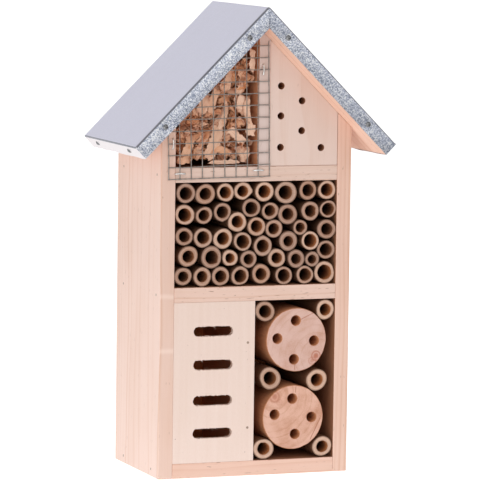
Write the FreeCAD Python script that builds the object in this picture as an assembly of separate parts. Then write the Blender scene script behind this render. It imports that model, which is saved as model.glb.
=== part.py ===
import FreeCAD, Part
import math
import os

# An insect hotel: a small pine house with shelves, nesting tubes and a folded metal roof.
# Millimetres. +X is right seen from the front, the front looks along -Y, +Z is up.
# The origin is at the middle of the footprint, on the surface that the house stands on.

# ---------------------------------------------------------------- driving dimensions
BODY_WIDTH = 135.0          # outside the side panels
BODY_DEPTH = 90.0           # side panels, front to rear edge
BOARD = 10.0                # side panels, shelves and bottom board
DIVIDER = 8.0               # upright dividers
RIDGE_Z = 315.0             # sharp corner of the ridge, before its bend is rounded
HALF_ROOF = 92.0            # ridge to eave, measured level, to the sharp corners
ROOF_OVERHANG = 19.0        # roof in front of the body
ROOF_BOARD = 9.5
SHEET = 0.5                 # galvanised roof sheet
BEND_RADIUS = 1.0           # outside of the sheet's bends
SEAM = 0.3                  # slit between the two front flanges
EDGE = 0.5                  # rounding of the boards' edges

LOWER_SHELF_Z = 118.0       # underside
UPPER_SHELF_Z = 198.0       # underside
ATTIC_DIVIDER_X = 0.6       # left face
LOWER_DIVIDER_X = -DIVIDER  # left face

BACK_PANEL = 6.0
BACK_RECESS = 4.0           # back panel behind the side panels' rear edges

PANEL_THICKNESS = 4.0       # slotted plywood panel
SLOT_LENGTH = 28.0
SLOT_HEIGHT = 6.8
SLOT_X = -29.5
SLOT_HEIGHTS = (29.8, 51.8, 75.8, 98.3)

BLOCK_HOLE = 4.8            # diameter
BLOCK_HOLE_DEPTH = 60.0
BLOCK_HOLES = ((16.5, 220.5), (16.5, 241.5), (16.5, 261.5), (31.5, 231.5), (31.5, 251.5), (45.5, 220.0))
BLOCK_SETBACK = 0.4

LOG_LENGTH = 78.0
LOG_HOLE = 7.0              # diameter
LOG_HOLE_DEPTH = 62.0

REED_LENGTH = 77.0
REED_BORE_DEPTH = 64.0      # up to the reed's natural node
REED_SETBACKS = (0.6, 1.4, 0.9, 1.8, 0.4)   # front ends behind the boards' front edges, in turn
CLEARANCE = 0.1             # between neighbouring tubes

# Middle bay: x, z, outer diameter and bore of each reed, row by row from the top.
REED_ROWS = {
    "top": (
        (-50, 191, 13.5, 8.5), (-36, 190, 14, 8), (-22, 191, 12.5, 8), (-9, 191.5, 12.5, 7.5),
        (5.5, 191, 13.5, 8.5), (21, 190, 15.5, 9.5), (37, 191.5, 13, 8), (50.5, 191.5, 13, 8.5)),
    "second": (
        (-50, 176.5, 14, 9), (-37, 176, 12, 7.5), (-24, 178, 12.5, 8), (-3.5, 180.5, 13, 8.5),
        (10, 178, 12, 7.5), (23, 175.5, 14, 8), (38.5, 177.5, 13, 8), (51.5, 178.5, 12, 8.5)),
    "third": (
        (-13, 171, 13.5, 8), (0.5, 168, 13, 8), (13, 166, 12.5, 7.5), (31.5, 166.5, 10.5, 6.5),
        (50.5, 165, 13.5, 8)),
    "fourth": (
        (-50.5, 162, 12.5, 7.5), (-37.5, 161, 13.5, 8.5), (-23, 160, 14, 8.5), (-9.5, 158, 13, 9),
        (5, 154.5, 13.5, 8.5), (23.5, 157.5, 13.5, 7), (39, 157.5, 13, 9), (51.5, 151, 13, 8.5)),
    "fifth": (
        (-48, 149, 14, 8), (-31.5, 148, 15, 9), (-18, 147, 11.5, 6.5), (-5, 146, 12, 7),
        (15.5, 146, 13, 7.5), (29, 145.5, 12.5, 7), (40.5, 145, 10.5, 6)),
    "bottom": (
        (-51, 135.5, 12.5, 7), (-37.5, 135, 13, 7.5), (-24.5, 135, 13, 8), (-11, 135, 13, 8.5),
        (4, 136, 13.5, 8), (20.5, 134.5, 12.5, 8.5), (35.5, 134.5, 12.5, 8.5), (50.5, 135.5, 15, 10)),
}
JOINED_ROWS = ("fifth", "bottom")           # a row's reeds in one node

# Lower right bay: the same four values for the reeds; x, z and diameter for the logs.
BAY_REEDS = (
    (7.5, 110.5, 14, 8.5), (50.5, 110.5, 13.5, 8), (12, 65, 15.5, 9),
    (45, 63, 15, 8.5), (7.5, 17.5, 14.5, 8.5), (50, 17.5, 14, 8))
LOGS = {"upper_log": (29.8, 90.8, 43.5), "lower_log": (28.1, 38.3, 44.0)}
LOG_HOLES = {               # x and z from the log's middle
    "upper_log": ((12.8, -1.0), (-0.5, 13.0), (-13.6, 1.2), (-1.5, -13.2)),
    "lower_log": ((13.4, -0.4), (-0.6, 12.6), (-13.2, 2.2), (1.6, -11.5))}

WIRE = 0.8                  # mesh wire diameter
WIRE_OVERLAP = 0.2          # how deep the wires are welded into each other
MESH_PITCH = 7.9
MESH_LEFT_X = -62.5         # lower left crossing
MESH_BOTTOM_Z = 200.3
MESH_LEAN = 1.1             # degrees that the mesh is turned about that crossing, its right side up
MESH_COLUMNS = 10
MESH_ROWS = 12
WIRE_END = 0.7              # wire past the outer crossing
WIRE_TOP = 3.8              # upright wire past the top crossing
ROOF_GAP = 1.2              # mesh below the roof boards

STAPLE_WIRE = 1.0
STAPLE_CROWN = 7.0
STAPLE_LEG = 8.0
LEVEL_STAPLES = ((1, 0.45), (8, 0.5))      # in columns and rows of the mesh
UPRIGHT_STAPLES = ((0.35, 3), (8.45, 9))

NAIL_HEAD = 3.8             # domed head of the roof sheet's nails
NAIL_HEAD_HEIGHT = 1.0
NAIL_SHANK = 1.4
NAIL_LENGTH = 16.0
FLANGE_NAILS = (13.5, 71.5)     # level distance from the ridge
EAVE_NAILS = (-30.5, 35.5)      # along Y

BOARD_NAIL_HEAD = 4.0       # flat head, flush under the sheet
BOARD_NAIL_HEAD_HEIGHT = 0.6
BOARD_NAIL_SHANK = 1.6
BOARD_NAIL_LENGTH = 30.0        # at the ridge
PANEL_NAIL_LENGTH = 18.0        # into a side panel's sloping top
BOARD_NAIL_INSET = 2.5          # from the side panel's outer face, at the roof board's underside
BOARD_NAILS = (-25.0, 45.0)     # along Y

BRAD_HEAD = 1.7
BRAD_HEAD_HEIGHT = 0.8
BRAD_SHANK = 1.1
BRAD_LENGTH = 22.0
PANEL_BRAD_LENGTH = 14.0

PLATE_WIDTH = 38.0          # hanger plate
PLATE_HEIGHT = 30.0
PLATE_THICKNESS = 1.2
PLATE_CORNER = 4.0
PLATE_Z = 262.0
KEYHOLE_RADIUS = 4.5
KEYHOLE_SLOT = 4.4
KEYHOLE_RISE = 9.0
POCKET_RADIUS = 6.5
POCKET_DEPTH = 4.5
SCREW_SPREAD = 13.0         # from the plate's middle to each screw
SCREW_HEAD = 5.0
SCREW_HEAD_HEIGHT = 1.4
SCREW_SHANK = 2.4
SCREW_LENGTH = 6.0

SHAVINGS_GAP = 1.5          # around the loose shavings

# ---------------------------------------------------------------- derived places
X_AXIS = FreeCAD.Vector(1, 0, 0)
Y_AXIS = FreeCAD.Vector(0, 1, 0)
Z_AXIS = FreeCAD.Vector(0, 0, 1)
ROOT_TWO = math.sqrt(2.0)

BACK_Y = (BODY_DEPTH + ROOF_OVERHANG + NAIL_HEAD_HEIGHT) / 2
FRONT_Y = BACK_Y - BODY_DEPTH
ROOF_FRONT_Y = FRONT_Y - ROOF_OVERHANG
BACK_PANEL_Y = BACK_Y - BACK_RECESS - BACK_PANEL
HALF_BODY = BODY_WIDTH / 2
INNER_X = HALF_BODY - BOARD
ROOF = ROOF_BOARD + SHEET
SLOPE = HALF_ROOF * ROOT_TWO
MIDDLE_BAY = (-INNER_X, INNER_X, LOWER_SHELF_Z + BOARD, UPPER_SHELF_Z)
LOWER_RIGHT_BAY = (0.0, INNER_X, BOARD, LOWER_SHELF_Z)
ATTIC_FLOOR = UPPER_SHELF_Z + BOARD


def underside(x):
    """Height of the roof boards' underside at x."""
    return RIDGE_Z - abs(x) - ROOF * ROOT_TWO


def roof_point(side, along, below):
    """x and z of a point on one roof slope: along it from the ridge, and below its top face."""
    return side * (along - below) / ROOT_TWO, RIDGE_Z - (along + below) / ROOT_TWO


# ---------------------------------------------------------------- basic shapes
def prism(outline, front, back):
    """A solid with an outline of (x, z) corners, from y = front to y = back."""
    corners = [FreeCAD.Vector(x, front, z) for x, z in outline]
    wire = Part.makePolygon(corners + corners[:1])
    return Part.Face(wire).extrude(Y_AXIS * (back - front))


def eased(solid):
    """The solid with all its edges slightly rounded, as a sanded board has."""
    return solid.makeFillet(EDGE, solid.Edges)


def board(left, right, front, back, low, high):
    """A rectangular board with eased edges."""
    return eased(prism(((left, low), (right, low), (right, high), (left, high)), front, back))


def rod(x, z, diameter, front, length):
    """A round rod along +Y."""
    return Part.makeCylinder(diameter / 2, length, FreeCAD.Vector(x, front, z), Y_AXIS)


def turned(edges, point, direction):
    """Edges of a half section in local x and z, turned about z, which then points along direction."""
    section = Part.Face(Part.Wire(Part.__sortEdges__(edges)))
    solid = Part.Solid(section.revolve(FreeCAD.Vector(0, 0, 0), Z_AXIS, 360))
    solid.Placement = FreeCAD.Placement(point, FreeCAD.Rotation(Z_AXIS, direction))
    return solid


def line(start, end):
    return Part.LineSegment(FreeCAD.Vector(start[0], 0, start[1]), FreeCAD.Vector(end[0], 0, end[1])).toShape()


def fastener(point, direction, head, head_height, shank, length):
    """A flat-headed nail, brad or screw: the head's top is at the point."""
    corners = [(0, 0), (head / 2, 0), (head / 2, head_height), (shank / 2, head_height),
               (shank / 2, length), (0, length)]
    edges = [line(start, end) for start, end in zip(corners, corners[1:] + corners[:1])]
    return turned(edges, point, direction)


def brad(point, direction, length=BRAD_LENGTH):
    return fastener(point, direction, BRAD_HEAD, BRAD_HEAD_HEIGHT, BRAD_SHANK, length)


def domed_nail(point, direction):
    """A nail whose domed head stands on the point and whose shank runs along direction."""
    half = NAIL_HEAD / 2
    dome_radius = (half ** 2 + NAIL_HEAD_HEIGHT ** 2) / (2 * NAIL_HEAD_HEIGHT)
    half_angle = math.asin(half / dome_radius) / 2
    centre_z = dome_radius - NAIL_HEAD_HEIGHT
    top = FreeCAD.Vector(0, 0, -NAIL_HEAD_HEIGHT)
    middle = FreeCAD.Vector(dome_radius * math.sin(half_angle), 0, centre_z - dome_radius * math.cos(half_angle))
    dome = Part.Arc(top, middle, FreeCAD.Vector(half, 0, 0)).toShape()
    corners = [(half, 0), (NAIL_SHANK / 2, 0), (NAIL_SHANK / 2, NAIL_LENGTH), (0, NAIL_LENGTH),
               (0, -NAIL_HEAD_HEIGHT)]
    edges = [line(start, end) for start, end in zip(corners, corners[1:])]
    return turned([dome] + edges, point, direction)


def drilled(solid, tools):
    """The solid with the tools' own shapes cut away."""
    return solid.cut(tools)


# ---------------------------------------------------------------- fasteners
def side_brads():
    """Two brads through each side panel into the end of each level board."""
    levels = {BOARD / 2: (15.0, 72.5), LOWER_SHELF_Z + BOARD / 2: (8.0, 76.0),
              UPPER_SHELF_Z + BOARD / 2: (8.5, 77.5)}
    brads = []
    for side in (-1, 1):
        for height, depths in levels.items():
            for depth in depths:
                point = FreeCAD.Vector(side * HALF_BODY, FRONT_Y + depth, height)
                brads.append(brad(point, X_AXIS * -side))
    return brads


def divider_brads():
    """Brads through the level boards into the ends of the dividers."""
    lower_x = LOWER_DIVIDER_X + DIVIDER / 2
    attic_x = ATTIC_DIVIDER_X + DIVIDER / 2
    brads = []
    for depth in (20.0, 60.0):
        y = FRONT_Y + depth
        brads.append(brad(FreeCAD.Vector(lower_x, y, 0), Z_AXIS))
        brads.append(brad(FreeCAD.Vector(lower_x, y, LOWER_SHELF_Z + BOARD), Z_AXIS * -1))
        brads.append(brad(FreeCAD.Vector(attic_x, y, UPPER_SHELF_Z), Z_AXIS))
    return brads


def back_brads():
    """Brads through the back panel into the rear edges of the level boards."""
    brads = []
    for height in (BOARD / 2, LOWER_SHELF_Z + BOARD / 2, UPPER_SHELF_Z + BOARD / 2):
        for x in (-40.0, 40.0):
            brads.append(brad(FreeCAD.Vector(x, BACK_Y - BACK_RECESS, height), Y_AXIS * -1))
    return brads


def panel_brads():
    """Two brads through the slotted panel into the lower divider."""
    places = ((-4.9, 90.0), (-4.5, 32.6))
    return [brad(FreeCAD.Vector(x, FRONT_Y, z), Y_AXIS, PANEL_BRAD_LENGTH) for x, z in places]


def sheet_nails():
    """Domed nails through the front flanges and the eave flanges."""
    nails = []
    middle = ROOF / 2
    for side in (-1, 1):
        for level in FLANGE_NAILS:
            x, z = roof_point(side, level * ROOT_TWO + middle, middle)
            nails.append(domed_nail(FreeCAD.Vector(x, ROOF_FRONT_Y, z), Y_AXIS))
        x, z = roof_point(side, SLOPE, middle)
        inward = FreeCAD.Vector(-side, 0, 1).normalize()
        for y in EAVE_NAILS:
            nails.append(domed_nail(FreeCAD.Vector(x, y, z), inward))
    return nails


def roof_board_nails():
    """Nails under the sheet: into the side panels' tops, and through the ridge joint."""
    nails = []
    over_panel = (HALF_BODY - BOARD_NAIL_INSET) * ROOT_TWO + ROOF
    for y in BOARD_NAILS:
        for side in (-1, 1):
            x, z = roof_point(side, over_panel, SHEET)
            down = FreeCAD.Vector(-side, 0, -1).normalize()
            nails.append(fastener(FreeCAD.Vector(x, y, z), down, BOARD_NAIL_HEAD,
                                  BOARD_NAIL_HEAD_HEIGHT, BOARD_NAIL_SHANK, PANEL_NAIL_LENGTH))
        x, z = roof_point(-1, SHEET + ROOF_BOARD / 2, SHEET)
        down = FreeCAD.Vector(1, 0, -1).normalize()
        nails.append(fastener(FreeCAD.Vector(x, y, z), down, BOARD_NAIL_HEAD,
                              BOARD_NAIL_HEAD_HEIGHT, BOARD_NAIL_SHANK, BOARD_NAIL_LENGTH))
    return nails


def hanger_screws():
    """Two short pan-head screws in the back panel."""
    head_y = BACK_Y - BACK_RECESS + PLATE_THICKNESS + SCREW_HEAD_HEIGHT
    length = SCREW_HEAD_HEIGHT + SCREW_LENGTH
    screws = []
    for side in (-1, 1):
        point = FreeCAD.Vector(side * SCREW_SPREAD, head_y, PLATE_Z)
        screws.append(fastener(point, Y_AXIS * -1, SCREW_HEAD, SCREW_HEAD_HEIGHT, SCREW_SHANK, length))
    return screws


def on_mesh(column, row):
    """Where a place on the mesh is, in x and z."""
    lean = math.radians(MESH_LEAN)
    across, up = column * MESH_PITCH, row * MESH_PITCH
    return (MESH_LEFT_X + across * math.cos(lean) - up * math.sin(lean),
            MESH_BOTTOM_Z + across * math.sin(lean) + up * math.cos(lean))


def staples():
    """U-shaped staples over the mesh wires, their legs in the wood."""
    crown_y = FRONT_Y - 2 * WIRE + WIRE_OVERLAP - STAPLE_WIRE / 2 - CLEARANCE
    leg_length = FRONT_Y + STAPLE_LEG - crown_y
    shapes = []
    placed = [(*on_mesh(*place), X_AXIS) for place in LEVEL_STAPLES]
    placed += [(*on_mesh(*place), Z_AXIS) for place in UPRIGHT_STAPLES]
    for x, z, direction in placed:
        start = FreeCAD.Vector(x, crown_y, z) - direction * (STAPLE_CROWN / 2)
        end = start + direction * STAPLE_CROWN
        crown = Part.makeCylinder(STAPLE_WIRE / 2, STAPLE_CROWN, start, direction)
        legs = [Part.makeCylinder(STAPLE_WIRE / 2, leg_length, corner, Y_AXIS) for corner in (start, end)]
        corners = [Part.makeSphere(STAPLE_WIRE / 2, corner) for corner in (start, end)]
        shapes.append(crown.multiFuse(legs + corners).removeSplitter())
    return shapes


# ---------------------------------------------------------------- body and roof
def side_panel(side):
    outline = ((HALF_BODY, 0), (INNER_X, 0), (INNER_X, underside(INNER_X)), (HALF_BODY, underside(HALF_BODY)))
    return eased(prism([(side * x, z) for x, z in outline], FRONT_Y, BACK_Y))


def level_board(low):
    return board(-INNER_X, INNER_X, FRONT_Y, BACK_PANEL_Y, low, low + BOARD)


def keyhole(radius, slot, depth, y):
    """A keyhole shape, from y towards the front: a round hole with a slot upwards."""
    low = PLATE_Z - KEYHOLE_RISE / 2
    hole = rod(0, low, 2 * radius, y - depth, depth)
    straight = Part.makeBox(slot, depth, KEYHOLE_RISE, FreeCAD.Vector(-slot / 2, y - depth, low))
    end = rod(0, low + KEYHOLE_RISE, slot, y - depth, depth)
    return hole.multiFuse([straight, end]).removeSplitter()


def back_panel():
    """A gable-shaped panel between the side panels, with a pocket behind the hanger plate."""
    outline = ((-INNER_X, 0), (INNER_X, 0), (INNER_X, underside(INNER_X)), (0, underside(0)),
               (-INNER_X, underside(INNER_X)))
    panel = prism(outline, BACK_PANEL_Y, BACK_PANEL_Y + BACK_PANEL)
    pocket = keyhole(POCKET_RADIUS, 2 * POCKET_RADIUS, POCKET_DEPTH, BACK_PANEL_Y + BACK_PANEL)
    return panel.cut(pocket)


def hanger_plate():
    """A steel plate with rounded corners, a keyhole and two screw holes."""
    y = BACK_PANEL_Y + BACK_PANEL
    plate = Part.makeBox(PLATE_WIDTH, PLATE_THICKNESS, PLATE_HEIGHT,
                         FreeCAD.Vector(-PLATE_WIDTH / 2, y, PLATE_Z - PLATE_HEIGHT / 2))
    corners = [edge for edge in plate.Edges if edge.tangentAt(0).isEqual(Y_AXIS, 1e-6)
               or edge.tangentAt(0).isEqual(Y_AXIS * -1, 1e-6)]
    plate = plate.makeFillet(PLATE_CORNER, corners)
    return plate.cut(keyhole(KEYHOLE_RADIUS, KEYHOLE_SLOT, PLATE_THICKNESS, y + PLATE_THICKNESS))


def attic_divider():
    left = ATTIC_DIVIDER_X
    right = left + DIVIDER
    outline = ((left, ATTIC_FLOOR), (right, ATTIC_FLOOR), (right, underside(right)), (left, underside(left)))
    return eased(prism(outline, FRONT_Y, BACK_PANEL_Y))


def lower_divider():
    """The upright board that the slotted panel is nailed to."""
    front = FRONT_Y + PANEL_THICKNESS
    return board(LOWER_DIVIDER_X, 0, front, BACK_PANEL_Y, BOARD, LOWER_SHELF_Z)


def slotted_panel():
    """A thin plywood panel with four level slots that have round ends."""
    panel = Part.makeBox(INNER_X, PANEL_THICKNESS, LOWER_SHELF_Z - BOARD, FreeCAD.Vector(-INNER_X, FRONT_Y, BOARD))
    straight = SLOT_LENGTH - SLOT_HEIGHT
    for z in SLOT_HEIGHTS:
        corner = FreeCAD.Vector(SLOT_X - straight / 2, FRONT_Y, z - SLOT_HEIGHT / 2)
        middle = Part.makeBox(straight, PANEL_THICKNESS, SLOT_HEIGHT, corner)
        ends = [rod(SLOT_X + side * straight / 2, z, SLOT_HEIGHT, FRONT_Y, PANEL_THICKNESS) for side in (-1, 1)]
        panel = panel.cut(middle.multiFuse(ends))
    return panel


def roof_board(side, upper_end):
    """One roof board; its upper end is at the given distance from the ridge along the slope."""
    corners = ((upper_end, SHEET), (SLOPE - SHEET, SHEET), (SLOPE - SHEET, ROOF), (upper_end, ROOF))
    outline = [roof_point(side, along, below) for along, below in corners]
    return prism(outline, ROOF_FRONT_Y + SHEET, BACK_Y)


def roof_sheet():
    """One folded sheet: two slopes, an eave flange at each side and two flanges down the front."""
    folded = []
    for side in (-1, 1):
        slope = ((0, 0), (SLOPE, 0), (SLOPE, SHEET), (SHEET, SHEET))
        eave = ((SLOPE - SHEET, 0), (SLOPE, 0), (SLOPE, ROOF), (SLOPE - SHEET, ROOF))
        flange = ((0, 0), (SLOPE, 0), (SLOPE, ROOF), (ROOF, ROOF))
        for corners, back in ((slope, BACK_Y), (eave, BACK_Y), (flange, ROOF_FRONT_Y + SHEET)):
            folded.append(prism([roof_point(side, *corner) for corner in corners], ROOF_FRONT_Y, back))
    sheet = folded[0].multiFuse(folded[1:]).removeSplitter()
    bends = [edge for edge in sheet.Edges if is_outer_bend(edge)]
    sheet = sheet.makeFillet(BEND_RADIUS, bends)
    slit_top = RIDGE_Z - 2 * BEND_RADIUS
    slit = Part.makeBox(SEAM, 2 * SHEET, slit_top - underside(0) + SHEET,
                        FreeCAD.Vector(-SEAM / 2, ROOF_FRONT_Y - SHEET / 2, underside(0) - SHEET))
    return sheet.cut(slit)


def is_outer_bend(edge):
    """True for the edges that the sheet is folded over: ridge, eaves and the top of the flanges."""
    ends = [vertex.Point for vertex in edge.Vertexes]
    on_top = all(abs(point.z - (RIDGE_Z - abs(point.x))) < SHEET / 10 for point in ends)
    along_depth = abs(ends[0].y - ends[1].y) > BODY_DEPTH
    at_front = all(abs(point.y - ROOF_FRONT_Y) < SHEET / 10 for point in ends)
    return on_top and (along_depth or at_front)


# ---------------------------------------------------------------- what fills the bays
def settle(circles, bay):
    """Moves circles of (x, z, diameter, ...) apart until none overlaps another or the bay."""
    left, right, low, high = bay
    placed = [list(circle) for circle in circles]
    for _ in range(400):
        for i, first in enumerate(placed):
            for second in placed[:i]:
                gap_x = first[0] - second[0]
                gap_z = first[1] - second[1]
                distance = math.hypot(gap_x, gap_z)
                push = (first[2] + second[2]) / 2 + 1.2 * CLEARANCE - distance
                if push > 0:
                    for circle, sign in ((first, 0.5), (second, -0.5)):
                        circle[0] += sign * push * gap_x / distance
                        circle[1] += sign * push * gap_z / distance
        for circle in placed:
            reach = circle[2] / 2 + CLEARANCE
            circle[0] = min(max(circle[0], left + reach), right - reach)
            circle[1] = min(max(circle[1], low + reach), high - reach)
    return placed


def reed(x, z, diameter, bore, setback):
    """A hollow cane, closed at the back by its natural node."""
    front = FRONT_Y + setback
    return rod(x, z, diameter, front, REED_LENGTH).cut(rod(x, z, bore, front, REED_BORE_DEPTH))


def log(x, z, diameter, holes):
    """A round of wood with holes drilled from the front."""
    bores = [rod(x + across, z + up, LOG_HOLE, FRONT_Y, LOG_HOLE_DEPTH) for across, up in holes]
    return drilled(rod(x, z, diameter, FRONT_Y, LOG_LENGTH), bores)


def drilled_block():
    """A gable-shaped block that fills the right half of the attic."""
    left = ATTIC_DIVIDER_X + DIVIDER
    outline = ((left, ATTIC_FLOOR), (INNER_X, ATTIC_FLOOR), (INNER_X, underside(INNER_X)), (left, underside(left)))
    front = FRONT_Y + BLOCK_SETBACK
    block = eased(prism(outline, front, BACK_PANEL_Y))
    return drilled(block, [rod(x, z, BLOCK_HOLE, front, BLOCK_HOLE_DEPTH) for x, z in BLOCK_HOLES])


def wood_shavings():
    """The space that the loose curled shavings fill, as one closed solid."""
    left = -INNER_X + SHAVINGS_GAP
    right = ATTIC_DIVIDER_X - SHAVINGS_GAP
    low = ATTIC_FLOOR + SHAVINGS_GAP
    lift = SHAVINGS_GAP * ROOT_TWO
    outline = ((left, low), (right, low), (right, underside(right) - lift), (left, underside(left) - lift))
    return prism(outline, FRONT_Y + SHAVINGS_GAP, BACK_PANEL_Y - SHAVINGS_GAP)


def wire_mesh():
    """Upright wires with level wires welded on in front, cut off along the roof slopes."""
    upright_y = FRONT_Y - WIRE / 2
    level_y = upright_y - WIRE + WIRE_OVERLAP
    height = (MESH_ROWS - 1) * MESH_PITCH + WIRE_END + WIRE_TOP
    width = (MESH_COLUMNS - 1) * MESH_PITCH + 2 * WIRE_END
    wires = []
    for column in range(MESH_COLUMNS):
        start = FreeCAD.Vector(MESH_LEFT_X + column * MESH_PITCH, upright_y, MESH_BOTTOM_Z - WIRE_END)
        wires.append(Part.makeCylinder(WIRE / 2, height, start, Z_AXIS))
    for row in range(MESH_ROWS):
        start = FreeCAD.Vector(MESH_LEFT_X - WIRE_END, level_y, MESH_BOTTOM_Z + row * MESH_PITCH)
        wires.append(Part.makeCylinder(WIRE / 2, width, start, X_AXIS))
    mesh = wires[0].multiFuse(wires[1:])
    mesh.rotate(FreeCAD.Vector(MESH_LEFT_X, 0, MESH_BOTTOM_Z), Y_AXIS, -MESH_LEAN)
    peak = underside(0) - ROOF_GAP
    eave = peak - HALF_BODY
    room = ((-HALF_BODY, 0), (HALF_BODY, 0), (HALF_BODY, eave), (0, peak), (-HALF_BODY, eave))
    return mesh.common(prism(room, level_y - WIRE, BACK_Y))


# ---------------------------------------------------------------- assembly
def reed_nodes():
    """The middle bay's reeds, one node each, apart from the rows that share a node."""
    settled = iter(settle([circle for row in REED_ROWS.values() for circle in row], MIDDLE_BAY))
    nodes = {}
    count = 0
    for row, circles in REED_ROWS.items():
        reeds = []
        for _ in circles:
            reeds.append(reed(*next(settled), REED_SETBACKS[count % len(REED_SETBACKS)]))
            count += 1
        if row in JOINED_ROWS:
            nodes[f"reeds_{row}_row"] = Part.makeCompound(reeds)
        else:
            for number, shape in enumerate(reeds, 1):
                nodes[f"reed_{row}_{number}"] = shape
    return nodes


def lower_bay_nodes():
    """The two logs and the reeds around them."""
    settled = settle(list(LOGS.values()) + list(BAY_REEDS), LOWER_RIGHT_BAY)
    nodes = {name: log(*place, LOG_HOLES[name]) for name, place in zip(LOGS, settled)}
    for number, place in enumerate(settled[len(LOGS):], 1):
        nodes[f"bay_reed_{number}"] = reed(*place, REED_SETBACKS[number % len(REED_SETBACKS)])
    return nodes


def build():
    sides = side_brads()
    dividers = divider_brads()
    backs = back_brads()
    fronts = panel_brads()
    sheet_fixings = sheet_nails()
    board_fixings = roof_board_nails()
    screws = hanger_screws()
    clips = staples()
    nodes = {
        "left_side_panel": drilled(side_panel(-1), sides + board_fixings + clips),
        "right_side_panel": drilled(side_panel(1), sides + board_fixings),
        "bottom_board": drilled(level_board(0), sides + dividers + backs),
        "lower_shelf": drilled(level_board(LOWER_SHELF_Z), sides + dividers + backs),
        "upper_shelf": drilled(level_board(UPPER_SHELF_Z), sides + dividers + backs + clips),
        "back_panel": drilled(back_panel(), backs + screws),
        "attic_divider": drilled(attic_divider(), dividers + clips),
        "lower_divider": drilled(lower_divider(), dividers + fronts),
        "left_roof_board": drilled(roof_board(-1, SHEET), sheet_fixings + board_fixings),
        "right_roof_board": drilled(roof_board(1, ROOF), sheet_fixings + board_fixings),
        "roof_sheet": drilled(roof_sheet(), sheet_fixings),
        "drilled_block": drilled_block(),
        "slotted_panel": drilled(slotted_panel(), fronts),
        "wire_mesh": wire_mesh(),
        "mesh_staples": Part.makeCompound(clips),
        "roof_sheet_nails": Part.makeCompound(sheet_fixings),
        "roof_board_nails": Part.makeCompound(board_fixings),
        "brads": Part.makeCompound(sides + dividers + backs + fronts),
        "wood_shavings": wood_shavings(),
        "hanger_plate": drilled(hanger_plate(), screws),
        "hanger_screws": Part.makeCompound(screws),
    }
    nodes.update(lower_bay_nodes())
    nodes.update(reed_nodes())
    return nodes


os.makedirs("parts", exist_ok=True)
for name, shape in build().items():
    shape.exportStep(f"parts/{name}.step")
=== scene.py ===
import math
import random

import bmesh
import bpy
import numpy as np
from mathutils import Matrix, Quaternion, Vector, geometry, noise


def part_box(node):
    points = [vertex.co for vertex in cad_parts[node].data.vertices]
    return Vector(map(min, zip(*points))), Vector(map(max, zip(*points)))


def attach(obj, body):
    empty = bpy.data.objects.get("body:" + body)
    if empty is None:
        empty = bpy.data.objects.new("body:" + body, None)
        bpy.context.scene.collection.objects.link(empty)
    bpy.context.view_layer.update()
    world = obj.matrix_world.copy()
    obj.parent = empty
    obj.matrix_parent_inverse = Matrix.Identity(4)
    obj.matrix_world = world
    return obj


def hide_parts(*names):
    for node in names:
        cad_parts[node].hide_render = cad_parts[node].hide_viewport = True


# An insect hotel: a pine house with canes, drilled logs, wood shavings and a galvanised roof.
# Lengths here are in millimetres and become metres where a mesh is made.

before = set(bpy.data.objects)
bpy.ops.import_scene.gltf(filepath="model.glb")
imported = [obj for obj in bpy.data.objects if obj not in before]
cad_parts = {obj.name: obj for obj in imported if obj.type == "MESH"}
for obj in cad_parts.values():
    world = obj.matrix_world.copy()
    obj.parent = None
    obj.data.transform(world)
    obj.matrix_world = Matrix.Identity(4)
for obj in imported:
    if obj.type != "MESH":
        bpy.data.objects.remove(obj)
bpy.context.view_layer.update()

MM = 0.001
ROOT_TWO = math.sqrt(2.0)

# ---------------------------------------------------------------- driving values
CAMERA_AZIMUTH = -20.43     # degrees
CAMERA_ELEVATION = 5.98
CAMERA_ROLL = 0.773
CAMERA_TARGET = Vector((0.0, -0.3, 148.9))
CAMERA_DISTANCE = 2466.6
CAMERA_LENS = 273.6
CAMERA_SHIFT = (0.0043, 0.0197)

# Brightness of the studio from straight down (0) to straight up (1).
RIGHT_SKY = ((0.0, 1.5), (0.26, 0.80), (0.36, 0.17), (0.44, 0.19),
             (0.51, 0.50), (0.62, 0.80), (0.75, 0.50), (1.0, 0.30))
LEFT_SKY = ((0.0, 1.40), (0.44, 1.30), (0.52, 0.80), (0.62, 0.60), (0.75, 0.50), (1.0, 0.30))
BACK_SKY = ((0.0, 1.2), (0.28, 1.2), (0.40, 1.2), (0.48, 1.0),
            (0.60, 0.85), (0.72, 0.86), (0.84, 0.35), (1.0, 0.25))

BEND = 1.0                  # outside radius of the roof sheet's bends
BEND_STEPS = 5
SHEET = 0.5                 # thickness of the roof sheet
SEAM = 0.3                  # slit between the two front flanges
SHEET_STEP = 1.0            # between points along the roof
BULGE = 0.55                # how far a flange stands out between its nails
DISH = 5.0                  # radius of the dish round a nail
CORNER_FADE = 6.0           # the flanges are flat this near to a corner

CANE_POINTS = 72            # round a cane
CANE_GAP = 0.06             # between canes that touch
NEIGHBOUR = 4.0             # canes and logs nearer than this share the space between them
LOG_POINTS = 180
LOG_HOLE_POINTS = 48

WIRE = 0.8
WIRE_END = 0.7              # wire past the outer crossing
WIRE_TOP = 3.8              # upright wire past the top crossing
WIRE_PITCH = 7.9
WIRE_COLUMNS, WIRE_ROWS = 10, 12
MESH_LEAN = 1.1             # degrees
MESH_CORNER = (1.31, 0.71)  # lower left crossing from the corner of the mesh's box
STAPLE_WIRE = 0.58          # radius of a staple's wire
ROOF_GAP = 1.2              # mesh below the roof boards

SMALLEST_SLOT = 20.0        # square millimetres; smaller holes in the slotted panel are for brads
SLOT_STRAIGHT = 11.0        # half the length of a slot's level edges
SPLINTERS = 26              # tried in each slot
CRINKLE = 0.34              # how far a shaving is creased
TRIES = 8                   # places tried for one shaving
STRAY = 1.6                 # how far a shaving may reach past the space it fills

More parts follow.
